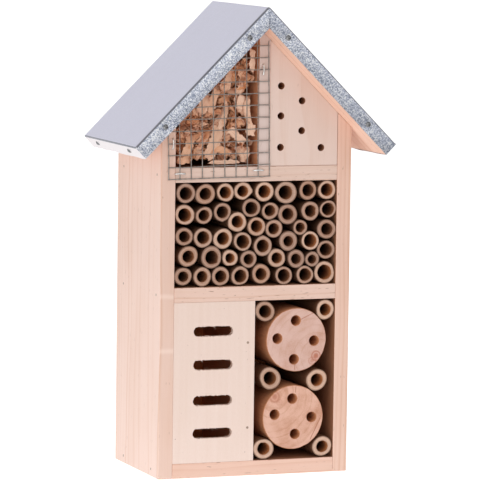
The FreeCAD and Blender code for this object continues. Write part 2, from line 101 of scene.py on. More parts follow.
# Canes that differ from the rest. Each bump is (angle in degrees, height, width in degrees).
PALE_CANES = {"reed_top_3", "reed_top_4", "reed_top_5", "reed_top_8", "reed_third_1", "reed_third_2",
              "reed_fourth_3", "reed_fourth_7", "reed_second_1", "reeds_fifth_row_3", "reeds_fifth_row_5",
              "reeds_bottom_row_8", "bay_reed_4", "bay_reed_5", "bay_reed_6", "bay_reed_2"}
ORANGE_CANES = {"reed_top_2", "reed_top_7", "reeds_fifth_row_1", "reeds_bottom_row_5", "reed_third_2"}
CANE_BUMPS = {
    "reed_top_4": ((-2, 0.16, 16), (-48, -0.10, 26)),
    "reed_top_6": ((180, 0.04, 20),),
    "reed_second_5": ((0, 0.10, 18),),
    "reed_second_3": ((-90, 0.07, 8),),
    "reed_third_1": ((-150, 0.09, 20), (-45, -0.09, 26)),
    "reed_fourth_5": ((95, 0.12, 16),),
    "reeds_fifth_row_3": ((-90, -0.10, 26),),
    "reeds_bottom_row_4": ((-90, -0.07, 30),),
    "reeds_bottom_row_8": ((45, 0.05, 18), (135, 0.05, 18)),
}
BORE_BUMPS = {
    "reed_second_7": ((0, -0.14, 18),),
    "reeds_fifth_row_2": ((-45, 0.12, 16),),
    "reed_third_4": ((-40, -0.16, 14),),
    "bay_reed_5": ((120, 0.10, 16),),
}

# Painted shade: faces inside the house take darker, redder colours; INDOORS_X and INDOORS_Z bound where.
INDOORS_X, INDOORS_Z = 60.0, 2.0    # the inside of the house is nearer the middle, and higher up
PINE_LIGHT = (0.86, 0.63, 0.53)
PINE_LATE = (0.70, 0.41, 0.27)
# Colours of pine in painted indoor shade.
INDOOR_SHADE_PINE = (0.46, 0.20, 0.105)
INDOOR_SHADE_RED = (0.97, 0.36, 0.13)

# Each board: turn about Y that brings the grain onto Z, pith from the board's centre, ring width, contrast,
# threshold of the resin ducts, shade (its own tone, on some boards partly painted light or shade), and the
# colour of painted shade on the faces inside the house.
BOARDS = {
    "left_side_panel": (0.0, (110.0, -105.0), 7.0, 0.9, 0.735, (0.955, 0.955, 0.975), INDOOR_SHADE_RED),
    "right_side_panel": (0.0, (-90.0, -80.0), 3.4, 1.1, 0.73, (0.90, 0.82, 0.78), INDOOR_SHADE_PINE),
    "bottom_board": (-90.0, (46.0, 26.0), 3.0, 1.0, 0.70, (1.0, 0.90, 0.86), INDOOR_SHADE_PINE),
    # The shelves' shades are partly painted shade: the higher shelf is the darker.
    "lower_shelf": (-90.0, (-52.0, -12.0), 3.2, 0.75, 0.665, (0.88, 0.85, 0.84), INDOOR_SHADE_PINE),
    "upper_shelf": (-90.0, (44.0, 18.0), 2.8, 0.7, 0.675, (0.81, 0.81, 0.81), INDOOR_SHADE_PINE),
    "attic_divider": (0.0, (48.0, 22.0), 2.8, 0.45, 0.75, (0.75, 0.80, 0.86), (0.90, 0.42, 0.22)),
    "lower_divider": (0.0, (-50.0, -16.0), 3.0, 0.45, 0.76, (0.90, 0.88, 0.86), (0.74, 0.30, 0.15)),
    "left_roof_board": (135.0, (55.0, 20.0), 3.4, 0.8, 0.74, (1.02, 0.93, 0.82), None),
    # Its shade makes the right roof board paler: painted light on its underside and front edge.
    "right_roof_board": (-135.0, (58.0, -12.0), 3.4, 0.9, 0.72, (1.08, 0.99, 0.93), None),
    "drilled_block": (0.0, (30.0, 150.0), 2.6, 0.22, 0.80, (0.825, 0.865, 0.90), INDOOR_SHADE_PINE),
}
NICKS = {"left_side_panel": (124.0, 87.0)}      # heights of pale saw marks on the front edge

# Each log's sawn end: pith, ring width, light and late wood, knots (x, z, radius, strength) and
# cracks (x, z, direction, length). Places are (x, z) from the middle of the end.
LOGS = {
    "upper_log": ((15.0, -12.0), 5.2, (0.692, 0.453, 0.383), (0.55, 0.295, 0.21),
                  ((14.3, -11.2, 4.0, 1.15), (11.6, -14.6, 3.2, 0.7)),
                  ((2.4, 13.4, 24.0, 10.5), (-1.0, -20.6, 88.0, 4.0))),
    "lower_log": ((-14.0, 15.0), 4.6, (0.765, 0.455, 0.345), (0.54, 0.25, 0.15),
                  ((-13.2, 14.2, 4.6, 0.85), (-9.8, 10.4, 2.6, 0.4)),
                  ((12.8, -15.7, 64.0, 16.0), (1.6, 16.5, 86.0, 4.0))),
}

# The shavings that show most: start and end, the way the middle looks, width, curl, twist and tone.
LEADING_SHAVINGS = (
    ((-44.0, -32.0, 216.5), (-21.5, -31.6, 252.0), (-0.8, -0.7, 0.5), 3.4, -0.5, 0.3, 0.85),
    ((-34.0, -30.0, 213.5), (-25.0, -29.5, 236.0), (0.1, -1.0, 0.1), 9.0, 0.9, 0.4, 0.80),
    ((-27.0, -30.5, 232.0), (-19.5, -30.5, 251.0), (0.4, -1.0, 0.1), 5.5, 0.8, 0.6, 0.90),
    ((-3.2, -31.5, 286.0), (-3.2, -31.0, 271.0), (-0.3, -1.0, 0.0), 4.2, 0.9, 0.6, 0.95),
    ((-7.0, -31.5, 254.0), (-3.0, -30.5, 233.0), (-0.6, -1.0, 0.1), 6.0, 0.9, 0.8, 0.85),
    ((-4.2, -31.5, 235.5), (-6.0, -30.5, 229.0), (0.2, -1.0, 0.5), 6.0, 3.8, 0.2, 0.95),
    ((-20.0, -31.5, 232.0), (-13.0, -30.5, 222.5), (0.2, -1.0, 0.3), 5.5, 3.4, 0.6, 0.95),
    ((-13.5, -31.5, 227.0), (-8.5, -30.5, 222.0), (0.6, -1.0, 0.2), 4.5, 3.6, 0.5, 0.90),
    ((-13.0, -29.5, 221.0), (-8.0, -30.0, 211.5), (0.5, -1.0, 0.5), 7.5, 1.1, 0.5, 0.85),
    ((-24.0, -30.0, 258.0), (-15.0, -29.5, 273.0), (-0.2, -1.0, 0.25), 6.0, 1.4, 0.7, 0.70),
    ((-40.0, -30.5, 243.5), (-32.0, -30.0, 256.0), (-0.2, -1.0, 0.3), 6.0, 1.6, 0.6, 0.80),
    ((-31.5, -31.0, 243.0), (-25.0, -30.5, 258.0), (-0.5, -1.0, 0.3), 5.0, 2.4, 0.5, 0.60),
    ((-52.0, -30.5, 214.0), (-47.0, -30.0, 229.0), (0.5, -1.0, 0.2), 6.0, 1.8, -0.5, 0.55),
    ((-33.0, -32.0, 210.6), (-12.0, -32.0, 210.9), (0.0, -0.8, 0.7), 3.0, 0.15, 0.2, 1.0),
    ((-55.0, -30.5, 211.5), (-45.0, -30.5, 213.0), (0.2, -1.0, 0.2), 5.0, 2.6, 0.3, 0.45),
    ((-14.0, -30.5, 256.0), (-9.0, -30.5, 266.0), (0.3, -1.0, 0.4), 5.0, 2.0, 0.7, 0.85),
    ((-12.0, -31.5, 246.0), (-8.5, -31.0, 255.0), (-0.3, -1.0, 0.4), 4.5, 2.8, 0.6, 1.0),
    ((-31.0, -30.0, 220.0), (-20.5, -29.5, 214.0), (0.1, -1.0, 0.6), 5.0, 1.8, 0.6, 0.35),
    ((-8.5, -31.5, 215.5), (-4.5, -31.0, 219.5), (0.3, -1.0, 0.4), 3.0, 2.0, 0.6, 1.0),
)
# Layers of loose shavings from the front to the back: (y, how many, size, palest tone). The lower palest
# tones of most deeper layers are painted shade.
SHAVING_LAYERS = ((-31.0, 60, 0.50, 1.0), (-29.0, 90, 0.80, 1.0), (-26.5, 120, 1.0, 0.7),
                  (-23.0, 110, 1.2, 0.5), (-16.0, 70, 1.5, 0.4), (-6.0, 45, 1.7, 0.3), (18.0, 40, 1.9, 0.6))


# ---------------------------------------------------------------- reading the frame
def box(node):
    """Lowest and highest corner of a CAD node, in millimetres."""
    low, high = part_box(node)
    return low / MM, high / MM


def used_points(points, faces):
    """The points that some faces use."""
    return points[np.unique(np.concatenate(faces))]


def solids(node):
    """The separate solids of a CAD node, each as (points in millimetres, faces), from left to right."""
    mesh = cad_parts[node].data
    spots = {}
    index = []
    for vertex in mesh.vertices:
        key = tuple(round(value / MM, 3) for value in vertex.co)
        index.append(spots.setdefault(key, len(spots)))
    root = list(range(len(spots)))

    def find(i):
        while root[i] != i:
            root[i] = root[root[i]]
            i = root[i]
        return i

    faces = [[index[i] for i in polygon.vertices] for polygon in mesh.polygons]
    for face in faces:
        for i in face[1:]:
            root[find(i)] = find(face[0])
    groups = {}
    for face in faces:
        groups.setdefault(find(face[0]), []).append(face)
    points = np.array(list(spots))
    found = [(points, group) for group in groups.values()]
    return sorted(found, key=lambda solid: used_points(*solid)[:, 0].mean())


def front_loops(points, faces):
    """Closed loops of (x, z) points round the flat front of a solid: its outline, then its holes."""
    front = used_points(points, faces)[:, 1].min()
    edges = set()
    for face in faces:
        if all(points[i][1] < front + 0.01 for i in face):
            for edge in zip(face, face[1:] + face[:1]):
                if edge[::-1] in edges:
                    edges.remove(edge[::-1])
                else:
                    edges.add(edge)
    following = dict(edges)
    loops = []
    while following:
        start = at = next(iter(following))
        loop = []
        while at in following:
            loop.append(points[at][[0, 2]])
            at = following.pop(at)
            if at == start:
                break
        loops.append(np.array(loop))
    return sorted(loops, key=lambda loop: -abs(area(loop)))


def area(loop):
    """Signed area of a closed loop, above zero when it runs anticlockwise."""
    following = np.roll(loop, -1, axis=0)
    return (loop[:, 0] * following[:, 1] - following[:, 0] * loop[:, 1]).sum() / 2


def hole_floor(points, faces, loop):
    """The y of the deepest point straight behind a hole's mouth."""
    used = used_points(points, faces)
    centre = loop.mean(axis=0)
    reach = np.hypot(*(loop - centre).T).max() + 0.05
    behind = np.hypot(used[:, 0] - centre[0], used[:, 2] - centre[1]) < reach
    return used[behind][:, 1].max()


BAY_FRONT = box("lower_shelf")[0].y
UNDERSIDE_TOP = box("back_panel")[1].z       # where the undersides of the two roof boards would meet


# ---------------------------------------------------------------- building meshes
def smooth_noise(x, y, z):
    """Repeatable noise between about -1 and 1."""
    return noise.noise(Vector((x, y, z)))


class Shape:
    """Points in millimetres and faces, gathered part by part into one mesh."""

    def __init__(self):
        self.points = []
        self.marks = []
        self.faces = []
        self.slots = []

    def ring(self, points, mark=0.0):
        """Adds points and returns their numbers. The mark is a number that a material can read."""
        start = len(self.points)
        self.points.extend(tuple(float(value) for value in point) for point in points)
        self.marks.extend([mark] * (len(self.points) - start))
        return list(range(start, len(self.points)))

    def face(self, corners, slot=0):
        self.faces.append(tuple(corners))
        self.slots.append(slot)

    def bridge(self, rings, slot=0):
        """Bands of faces between closed rings of the same length."""
        for first, second in zip(rings, rings[1:]):
            for i in range(len(first)):
                j = (i + 1) % len(first)
                self.face((first[i], first[j], second[j], second[i]), slot)

    def cap(self, ring, slot=0, centre=None, mark=0.0):
        """A fan of faces from a ring to its middle."""
        middle = centre if centre is not None else np.mean([self.points[i] for i in ring], axis=0)
        tip = self.ring([middle], mark)[0]
        for i in range(len(ring)):
            self.face((ring[i], ring[(i + 1) % len(ring)], tip), slot)

    def shell(self, outer, inner, wide, missing=()):
        """Faces on both sides of a grid of points and round its border. Wide is how many points
        a row has, and missing holds the first corners of cells that stay open."""
        edges = {}
        for first in range(len(outer) - wide):
            if (first + 1) % wide == 0 or first in missing:
                continue
            corners = (first, first + wide, first + wide + 1, first + 1)
            self.face([outer[corner] for corner in corners])
            self.face([inner[corner] for corner in reversed(corners)])
            edges.update(dict.fromkeys(zip(corners, corners[1:] + corners[:1])))
        for start, end in edges:
            if (end, start) not in edges:
                self.face((outer[end], outer[start], inner[start], inner[end]))

    def piece(self, name, materials, slot, replaced, sharp=38.0, **facts):
        """The finished object. Facts are numbers kept on the mesh for its material."""
        mesh = bpy.data.meshes.new(name)
        mesh.from_pydata([Vector(point) * MM for point in self.points], [], self.faces)
        for material in materials:
            mesh.materials.append(material)
        mesh.polygons.foreach_set("material_index", self.slots)
        mesh.polygons.foreach_set("use_smooth", [True] * len(self.faces))
        for fact, values in dict(facts, mark=self.marks).items():
            if not isinstance(values, list):
                values = [values] * len(self.points)
            mesh.attributes.new(fact, "FLOAT", "POINT").data.foreach_set("value", values)
        work = bmesh.new()
        work.from_mesh(mesh)
        bmesh.ops.recalc_face_normals(work, faces=work.faces)
        work.to_mesh(mesh)
        work.free()
        mesh.set_sharp_from_angle(angle=math.radians(sharp))
        made = bpy.data.objects.new(name, mesh)
        bpy.context.scene.collection.objects.link(made)
        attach(made, "root")
        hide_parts(replaced)


def grid_normals(grid):
    """Unit normals at the points of a grid."""
    normals = np.cross(np.gradient(grid, axis=0), np.gradient(grid, axis=1))
    return normals / np.maximum(np.linalg.norm(normals, axis=2, keepdims=True), 1e-9)


def lift(loop, y):
    """(x, z) points as (x, y, z) points."""
    return [(x, y, z) for x, z in loop]


def offset(loop, distance):
    """A closed loop moved outwards along its own normals."""
    along = np.roll(loop, -1, axis=0) - np.roll(loop, 1, axis=0)
    along /= np.maximum(np.hypot(*along.T), 1e-9)[:, None]
    outward = np.column_stack([along[:, 1], -along[:, 0]]) * np.sign(area(loop))
    return loop + outward * distance


def resample(loop, count):
    """Points evenly spaced along a closed loop."""
    closed = np.vstack([loop, loop[:1]])
    lengths = np.concatenate([[0.0], np.cumsum(np.hypot(*np.diff(closed, axis=0).T))])
    wanted = np.linspace(0.0, lengths[-1], count, endpoint=False)
    return np.column_stack([np.interp(wanted, lengths, closed[:, i]) for i in (0, 1)])


def densify(loop, step):
    """A closed loop with points added, so that none of its corners is lost."""
    points = []
    for start, end in zip(loop, np.roll(loop, -1, axis=0)):
        count = max(1, round(float(np.hypot(*(end - start))) / step))
        points.extend(start + (end - start) * i / count for i in range(count))
    return np.array(points)


def inside(points, loops):
    """Which points are inside the first loop and outside the others, by counting crossings."""
    count = np.zeros(len(points), int)
    for loop in loops:
        for start, end in zip(loop, np.roll(loop, -1, axis=0)):
            if start[1] != end[1]:
                crosses = (start[1] > points[:, 1]) != (end[1] > points[:, 1])
                at = start[0] + (points[:, 1] - start[1]) * (end[0] - start[0]) / (end[1] - start[1])
                count += crosses & (points[:, 0] < at)
    return count % 2 == 1


def fill(shape, loops, rings, spacing, height, rng):
    """Triangles between an outline and the holes in it. height(x, z) is the y of the points between."""
    fixed = np.vstack(loops)
    edges = []
    start = 0
    for loop in loops:
        edges += [(start + i, start + (i + 1) % len(loop)) for i in range(len(loop))]
        start += len(loop)
    low, high = loops[0].min(axis=0), loops[0].max(axis=0)
    across = np.arange(low[0] + spacing / 2, high[0], spacing)
    upward = np.arange(low[1] + spacing / 2, high[1], spacing)
    grid = np.array([(x + rng.uniform(-0.3, 0.3) * spacing, z + rng.uniform(-0.3, 0.3) * spacing)
                     for x in across for z in upward])
    grid = grid[inside(grid, loops)]
    nearest = np.array([np.hypot(*(fixed - point).T).min() for point in grid])
    grid = grid[nearest > spacing * 0.45]
    numbers = [i for ring in rings for i in ring]
    numbers += shape.ring([(x, height(x, z), z) for x, z in grid])
    flat = [Vector(point) for point in np.vstack([fixed, grid])]
    places, _, triangles, origins, _, _ = geometry.delaunay_2d_cdt(flat, edges, [], 0, 1e-6)
    corners = np.array([tuple(place) for place in places])
    centres = np.array([corners[list(triangle)].mean(axis=0) for triangle in triangles])
    for triangle, kept in zip(triangles, inside(centres, loops)):
        if kept:
            shape.face([numbers[origins[i][0]] for i in triangle])


def rod(shape, path, radius, sides=8):
    """A closed tube along a path. radius(i) is its radius at the path's point number i."""
    path = [Vector(point) for point in path]
    turns = [2 * math.pi * k / sides for k in range(sides)]
    rings = []
    side = None
    for i, point in enumerate(path):
        along = (path[min(i + 1, len(path) - 1)] - path[max(i - 1, 0)]).normalized()
        if side is None:
            side = along.orthogonal().normalized()
        side = (side - along * side.dot(along)).normalized()
        other = along.cross(side)
        rings.append(shape.ring([point + (side * math.cos(turn) + other * math.sin(turn)) * radius(i)
                                 for turn in turns]))
    shape.bridge(rings)
    shape.cap(rings[0])
    shape.cap(rings[-1])


# ---------------------------------------------------------------- building materials
def node_method(operation):
    """A method that adds a node for one operation on a Number or Spot."""
    def calculate(self, *others):
        made = self.nodes.node(self.kind, dict(enumerate((self, *others))), operation=operation)
        return type(self)(self.nodes, made.outputs[0])
    return calculate


class Number:
    """A number or colour that varies over a surface. Arithmetic with it adds nodes."""

    kind = "Math"
    __add__ = __radd__ = node_method("ADD")
    __sub__ = node_method("SUBTRACT")
    __mul__ = node_method("MULTIPLY")
    __truediv__ = node_method("DIVIDE")
    __lt__ = node_method("LESS_THAN")
    __gt__ = node_method("GREATER_THAN")
    __abs__ = node_method("ABSOLUTE")
    fraction = node_method("FRACT")
    floor = node_method("FLOOR")

    def __init__(self, nodes, socket):
        self.nodes = nodes
        self.socket = socket


class Spot(Number):
    """A place or direction that varies over a surface. spot["X"] is one part of it."""

    kind = "VectorMath"

    def __getitem__(self, axis):
        return Number(self.nodes, self.nodes.node("SeparateXYZ", {0: self}).outputs["XYZ".index(axis)])

    def length(self):
        made = self.nodes.node("VectorMath", {0: self}, operation="LENGTH")
        return Number(self.nodes, made.outputs["Value"])


class Nodes:
    """Short calls for the nodes of a tree."""

    def __init__(self, tree):
        self.tree = tree

    def node(self, kind, inputs, **settings):
        made = self.tree.nodes.new("ShaderNode" + kind)
        for key, value in settings.items():
            setattr(made, key, value)
        for key, value in inputs.items():
            self.feed(made.inputs[key], value)
        return made

    def feed(self, socket, value):
        """Links a socket to another one, or gives it a plain value."""
        if isinstance(value, Number):
            self.tree.links.new(value.socket, socket)
        else:
            socket.default_value = value

    def steps(self, value, *stops):
        """A ramp: each stop is (place, grey) or (place, colour)."""
        made = self.node("ValToRGB", {"Fac": value})
        ramp = made.color_ramp
        while len(ramp.elements) < len(stops):
            ramp.elements.new(0.5)
        for element, (place, colour) in zip(ramp.elements, stops):
            element.position = place
            element.color = (*colour, 1) if isinstance(colour, tuple) else (colour, colour, colour, 1)
        return Number(self, made.outputs["Color"])

    def mix(self, share, first, second, blend="MIX"):
        made = self.node("Mix", {"Factor": share}, data_type="RGBA", blend_type=blend)
        colours = [socket for socket in made.inputs if socket.type == "RGBA"]
        for socket, value in zip(colours, (first, second)):
            self.feed(socket, (*value, 1) if isinstance(value, tuple) else value)
        return Number(self, next(socket for socket in made.outputs if socket.type == "RGBA"))


class Look(Nodes):
    """A node material on one Principled shader."""

    def __init__(self, name, roughness=0.6, metallic=0.0):
        self.material = bpy.data.materials.new(name)
        self.material.use_nodes = True
        super().__init__(self.material.node_tree)
        self.shader = self.tree.nodes["Principled BSDF"]
        self.shader.inputs["Roughness"].default_value = roughness
        self.shader.inputs["Metallic"].default_value = metallic

    def place(self, centre=(0, 0, 0), turn=0.0):
        """Millimetres from a centre, after a turn in degrees about Y."""
        spot = Spot(self, self.node("TexCoord", {}).outputs["Object"]) - tuple(value * MM for value in centre)
        return self.turned(spot, turn, (1 / MM, 1 / MM, 1 / MM))

    def turned(self, spot, turn, scale=(1, 1, 1)):
        made = self.node("Mapping", {"Vector": spot, "Rotation": (0, math.radians(turn), 0), "Scale": scale})
        return Spot(self, made.outputs[0])

    def join(self, **parts):
        return Spot(self, self.node("CombineXYZ", parts).outputs[0])

    def cloudy(self, spot, scale, detail, distortion=0.0):
        inputs = {"Vector": spot, "Scale": scale, "Detail": detail, "Distortion": distortion}
        return self.node("TexNoise", inputs).outputs

    def noise(self, spot, scale=1.0, detail=2.0, distortion=0.0):
        return Number(self, self.cloudy(spot, scale, detail, distortion)["Fac"])

    def drift(self, spot, scale, detail):
        """Noise that differs along X, Y and Z, between 0 and 1."""
        return Spot(self, self.cloudy(spot, scale, detail)["Color"])

    def cells(self, spot, scale):
        return self.node("TexVoronoi", {"Vector": spot, "Scale": scale}).outputs

    def fact(self, name):
        """A number kept on the mesh."""
        return Number(self, self.node("Attribute", {}, attribute_name=name).outputs["Fac"])

    def normal(self, axis):
        return Spot(self, self.node("NewGeometry", {}).outputs["Normal"])[axis]

    def facing(self, axis):
        """How squarely a face looks along X, Y or Z, from 0 to 1."""
        return abs(self.normal(axis))

    def clamped(self, value):
        return Number(self, self.node("Clamp", {"Value": value}).outputs[0])

    def indoor_shade_mask(self):
        """Mask for painted indoor shade: 1 on faces inside the house and on the walls of holes, 0 on the
        outside and on front edges.
        """
        spot = self.place()
        return (abs(spot["X"]) < INDOORS_X) * (spot["Z"] > INDOORS_Z) * (self.facing("Y") < 0.5)

    def growth(self, radius, width, uneven, stops, strength):
        """Growth rings. Uneven is (scale, how much) and strength is (spread, least)."""
        scale, much = uneven
        spread, least = strength
        count = radius / width + self.noise(self.join(X=radius), scale, 1.0) * much
        each = self.node("TexWhiteNoise", {"W": count.floor()}, noise_dimensions="1D").outputs["Value"]
        return self.steps(count.fraction(), *stops) * (Number(self, each) * spread + least)

    def painted_light_by_height(self, colour):
        """Painted light and shade by height: makes a board paler towards the ground, as painted floor light,
        and a little darker towards the top, as painted shade.
        """
        tint = self.steps(self.place()["Z"] / 200.0, (0.02, (1.12, 1.14, 1.16)), (0.23, (1.06, 1.075, 1.085)),
                          (0.42, (1.02, 1.025, 1.03)), (0.58, (1.0, 1.0, 1.0)), (0.75, (0.96, 0.96, 0.965)))
        return self.mix(1.0, colour, tint, "MULTIPLY")

    def finish(self, colour, roughness=None, height=None, depth=0.1, strength=0.5):
        """Feeds the shader. depth is the height of the bumps in millimetres."""
        self.feed(self.shader.inputs["Base Color"], colour)
        if roughness is not None:
            self.feed(self.shader.inputs["Roughness"], roughness)
        if height is not None:
            bump = self.node("Bump", {"Height": height, "Strength": strength, "Distance": depth * MM})
            self.feed(self.shader.inputs["Normal"], Number(self, bump.outputs["Normal"]))
        return self.material


def shaded(tone, shade):
    """A colour times a number, or times another colour."""
    shades = shade if isinstance(shade, tuple) else (shade, shade, shade)
    return tuple(a * b for a, b in zip(tone, shades))


# ---------------------------------------------------------------- the materials
def pine(node):
    """Solid pine: growth rings about a pith, fibres along the grain and short dark resin ducts."""
    turn, pith, width, contrast, ducts, shade, inner = BOARDS[node]
    light, late = shaded(PINE_LIGHT, shade), shaded(PINE_LATE, shade)
    look = Look("pine_" + node)
    spot = look.place(centre_of(node), turn)
    wander = look.drift(spot * (0.03, 0.03, 0.008), 1.0, 1.0) - (0.5, 0.5, 0.5)
    across = spot + wander * (9.0, 9.0, 0.0) - (*pith, 0.0)
    stops = ((0.0, 0.12), (0.45, 0.0), (0.80, 0.55), (0.93, 1.0), (1.0, 0.12))
    ring = look.growth((across * (1.0, 1.0, 0.0)).length(), width, (0.13, 2.5), stops, (0.8, 0.2))
    fibre = look.noise(spot * (1.5, 1.5, 0.035), 1.0, 3.0)
    fine = look.noise(spot * (5.0, 5.0, 0.16))
    cloud = look.noise(spot * (0.045, 0.045, 0.018))
    share = ring * contrast + (fibre * 0.36 - 0.18) + (cloud * 0.5 - 0.22)
    colour = look.mix(look.clamped(share), light, late)
    duct = look.noise(spot * (1.4, 1.4, 0.17), 1.0, 1.0, 0.4)
    colour = look.mix(look.steps(duct, (ducts, 0.0), (ducts + 0.05, 1.0)) * 0.75, colour, (0.23, 0.10, 0.05))
    colour = look.mix(fine * 0.22 - 0.04, colour, tuple(min(1.0, value) for value in shaded(light, 1.2)))
    if node in NICKS:
        here = look.place()
        in_front = (here["Y"] < 0.0) * (look.facing("Y") > 0.5)
        # Painted shade: the front face of the left side panel is darkened.
        colour = look.mix(in_front * 0.27, colour, shaded(late, 0.86))
        for height in NICKS[node]:
            away = abs(here["Z"] + cloud * 3.0 - height)
            pale = look.steps(away / 2.4, (0.2, 0.28), (1.0, 0.0))
            colour = look.mix(pale * in_front, colour, (0.99, 0.82, 0.73))
    # The side panels get painted light towards the ground and painted shade towards the top.
    if node.endswith("side_panel"):
        colour = look.painted_light_by_height(colour)
    # Painted shade: faces inside the house take the board's darker indoor colour.
    if inner:
        colour = look.mix(look.indoor_shade_mask(), colour, look.mix(fibre, inner, shaded(inner, 0.7)))
    return look.finish(colour, fibre * 0.2 + 0.5, fine + ring * 0.6, 0.08)


def centre_of(node):
    low, high = box(node)
    return tuple((low + high) / 2)


def plywood(name, node, light, dark, plies):
    """Smooth plywood with pale flecks on its faces, plies on its edges and a darker, redder face inside the
    house as painted shade.
    """
    look = Look(name, 0.62)
    low, high = box(node)
    spot = look.place(tuple(low))
    fleck = look.noise(spot * (1.1, 1.1, 0.5), 1.0, 3.0)
    fine = look.noise(spot * (5.0, 5.0, 1.2))
    cloud = look.noise(spot * (0.035, 0.035, 0.02))
    band = look.noise(spot * (0.35, 0.35, 0.012), 1.0, 1.0)
    share = (fleck * 0.5 - 0.22) + cloud * 0.35 + (band * 0.5 - 0.22)
    colour = look.mix(look.clamped(share), light, dark)
    speck = look.steps(look.noise(spot * (0.75, 0.75, 0.75), 1.0, 0.0), (0.855, 0.0), (0.875, 1.0))
    colour = look.mix(speck * 0.7, colour, (0.20, 0.10, 0.07))
    ply = (spot["Y"] * (plies / 2 / (high.y - low.y))).fraction() > 0.5
    colour = look.mix(ply * (look.facing("Y") < 0.6) * 0.6, colour, (0.48, 0.28, 0.17))
    # Painted shade: the plywood face that looks into the house takes a dark red colour.
    depth = look.place()["Y"] - (low.y + 0.2)
    if node == "back_panel":
        shaded_inside = depth < 0.0
    else:
        shaded_inside = depth > high.y - low.y - 0.4
        # Painted light towards the ground and painted shade towards the top.
        colour = look.painted_light_by_height(colour)
    colour = look.mix(shaded_inside, colour, look.mix(fleck, INDOOR_SHADE_RED, (0.70, 0.24, 0.08)))
    return look.finish(colour, fine * 0.2 + 0.5, fine, 0.06, 0.4)


def galvanised(name):
    """Zinc-coated sheet: fine bright and dark crystals, with painted reflection: plain and bluish on the
    slopes, pale and plain on faces that look down, and dark along its bends.
    """
    look = Look(name, 0.38, 1.0)
    spot = look.place()
    spot = spot + look.drift(spot, 0.6, 2.0) * (0.9, 0.9, 0.9)
    crystal = Spot(look, look.cells(spot, 1.55)["Color"])["X"]
    finer = Spot(look, look.cells(spot, 2.4)["Color"])["Y"]
    cloud = look.noise(spot, 0.045, 3.0)
    # Painted reflection: the slopes get a plain bluish colour, the other faces a contrasty spangle.
    slope = look.facing("Z") > 0.55
    value = (crystal * 0.72 + finer * 0.28 - 0.5) * (slope * -0.83 + 1.0) + 0.5 + (cloud * 0.30 - 0.15)
    speckled = look.steps(value, (0.15, (0.27, 0.31, 0.40)), (0.42, (0.53, 0.56, 0.67)),
                          (0.58, (0.72, 0.745, 0.84)), (0.82, (0.98, 0.98, 0.99)))
    plain = look.steps(value, (0.30, (0.74, 0.735, 0.86)), (0.70, (0.86, 0.85, 0.98)))
    colour = look.mix(slope, speckled, plain)
    # Painted reflection: faces that look down get a pale, plain colour.
    pale_reflection_colour = look.mix(cloud, (0.78, 0.73, 0.745), (0.84, 0.79, 0.80))
    colour = look.mix(look.normal("Z") < -0.5, colour, pale_reflection_colour)
    # Painted reflection: a dark line along the bends, from the mark.
    colour = look.mix(look.steps(look.fact("mark"), (0.1, 0.0), (0.8, 0.85)), colour, (0.15, 0.15, 0.175))
    return look.finish(colour, finer * 0.14 + (cloud * 0.15 + 0.27), crystal + finer * 0.6, 0.05, 0.25)


def metal(name, light, dark, rough, scale, metallic=1.0):
    """Bare or coated metal with stains and fine scratches."""
    look = Look(name, rough, metallic)
    spot = look.place()
    stain = look.noise(spot, scale, 3.0)
    scratch = look.noise(spot * (1.2, 9.0, 9.0))
    colour = look.mix(look.steps(stain, (0.35, 0.0), (0.68, 1.0)), light, dark)
    colour = look.mix(scratch * 0.35, colour, dark)
    return look.finish(colour, stain * 0.3 + (rough - 0.12), scratch, 0.02, 0.4)


def cane_skin():
    """The glossy outside of a cane, with fine lines along it, coloured a very dark brown as painted shade
    between the canes.
    """
    look = Look("cane_skin", 0.42)
    spot = look.place()
    line = look.noise(spot * (3.0, 0.06, 3.0), 1.0, 3.0)
    stain = look.noise(spot * (0.35, 0.09, 0.35))
    # Painted shade: the skin's dark browns stand in for the shade between the canes.
    colour = look.mix(look.fact("tone"), (0.085, 0.037, 0.020), (0.23, 0.108, 0.058))
    colour = look.mix(line * 0.5, colour, (0.05, 0.022, 0.012))
    colour = look.mix(stain * 0.4, colour, (0.12, 0.058, 0.032))
    return look.finish(colour, line * 0.3 + 0.3, line, 0.06)


def cane_end():
    """The sawn end of a cane: dark dots of its fibre bundles, closer together towards the skin."""
    look = Look("cane_end", 0.75)
    spot = look.place() * (1.0, 0.25, 1.0)
    rim = look.fact("mark")
    fuzz = look.noise(spot, 3.2)
    dots = look.steps(Number(look, look.cells(spot, 1.9)["Distance"]), (0.12, 1.0), (0.42, 0.0))
    dots = dots * (rim * 0.45 + 0.2)
    colour = look.mix(look.fact("tone"), (0.26, 0.132, 0.088), (0.83, 0.56, 0.415))
    layers = (
        (look.fact("warm") * 0.75, (0.42, 0.20, 0.11)),
        (dots, (0.15, 0.075, 0.05)),
        (look.noise(spot, 0.33) * 0.7 - 0.2, (0.36, 0.21, 0.15)),
        (look.steps(rim, (0.30, 0.0), (0.55, 0.22), (0.80, 0.0)), (0.84, 0.62, 0.50)),
        (look.steps(rim, (0.70, 0.0), (0.90, 0.45), (1.0, 0.8)), (0.16, 0.085, 0.055)),
        (look.steps(rim, (0.0, 0.5), (0.14, 0.0)), (0.24, 0.11, 0.06)),
    )
    for share, layer in layers:
        colour = look.mix(share, colour, layer)
    return look.finish(colour, fuzz * 0.2 + 0.62, fuzz - dots * 0.7, 0.12, 0.7)


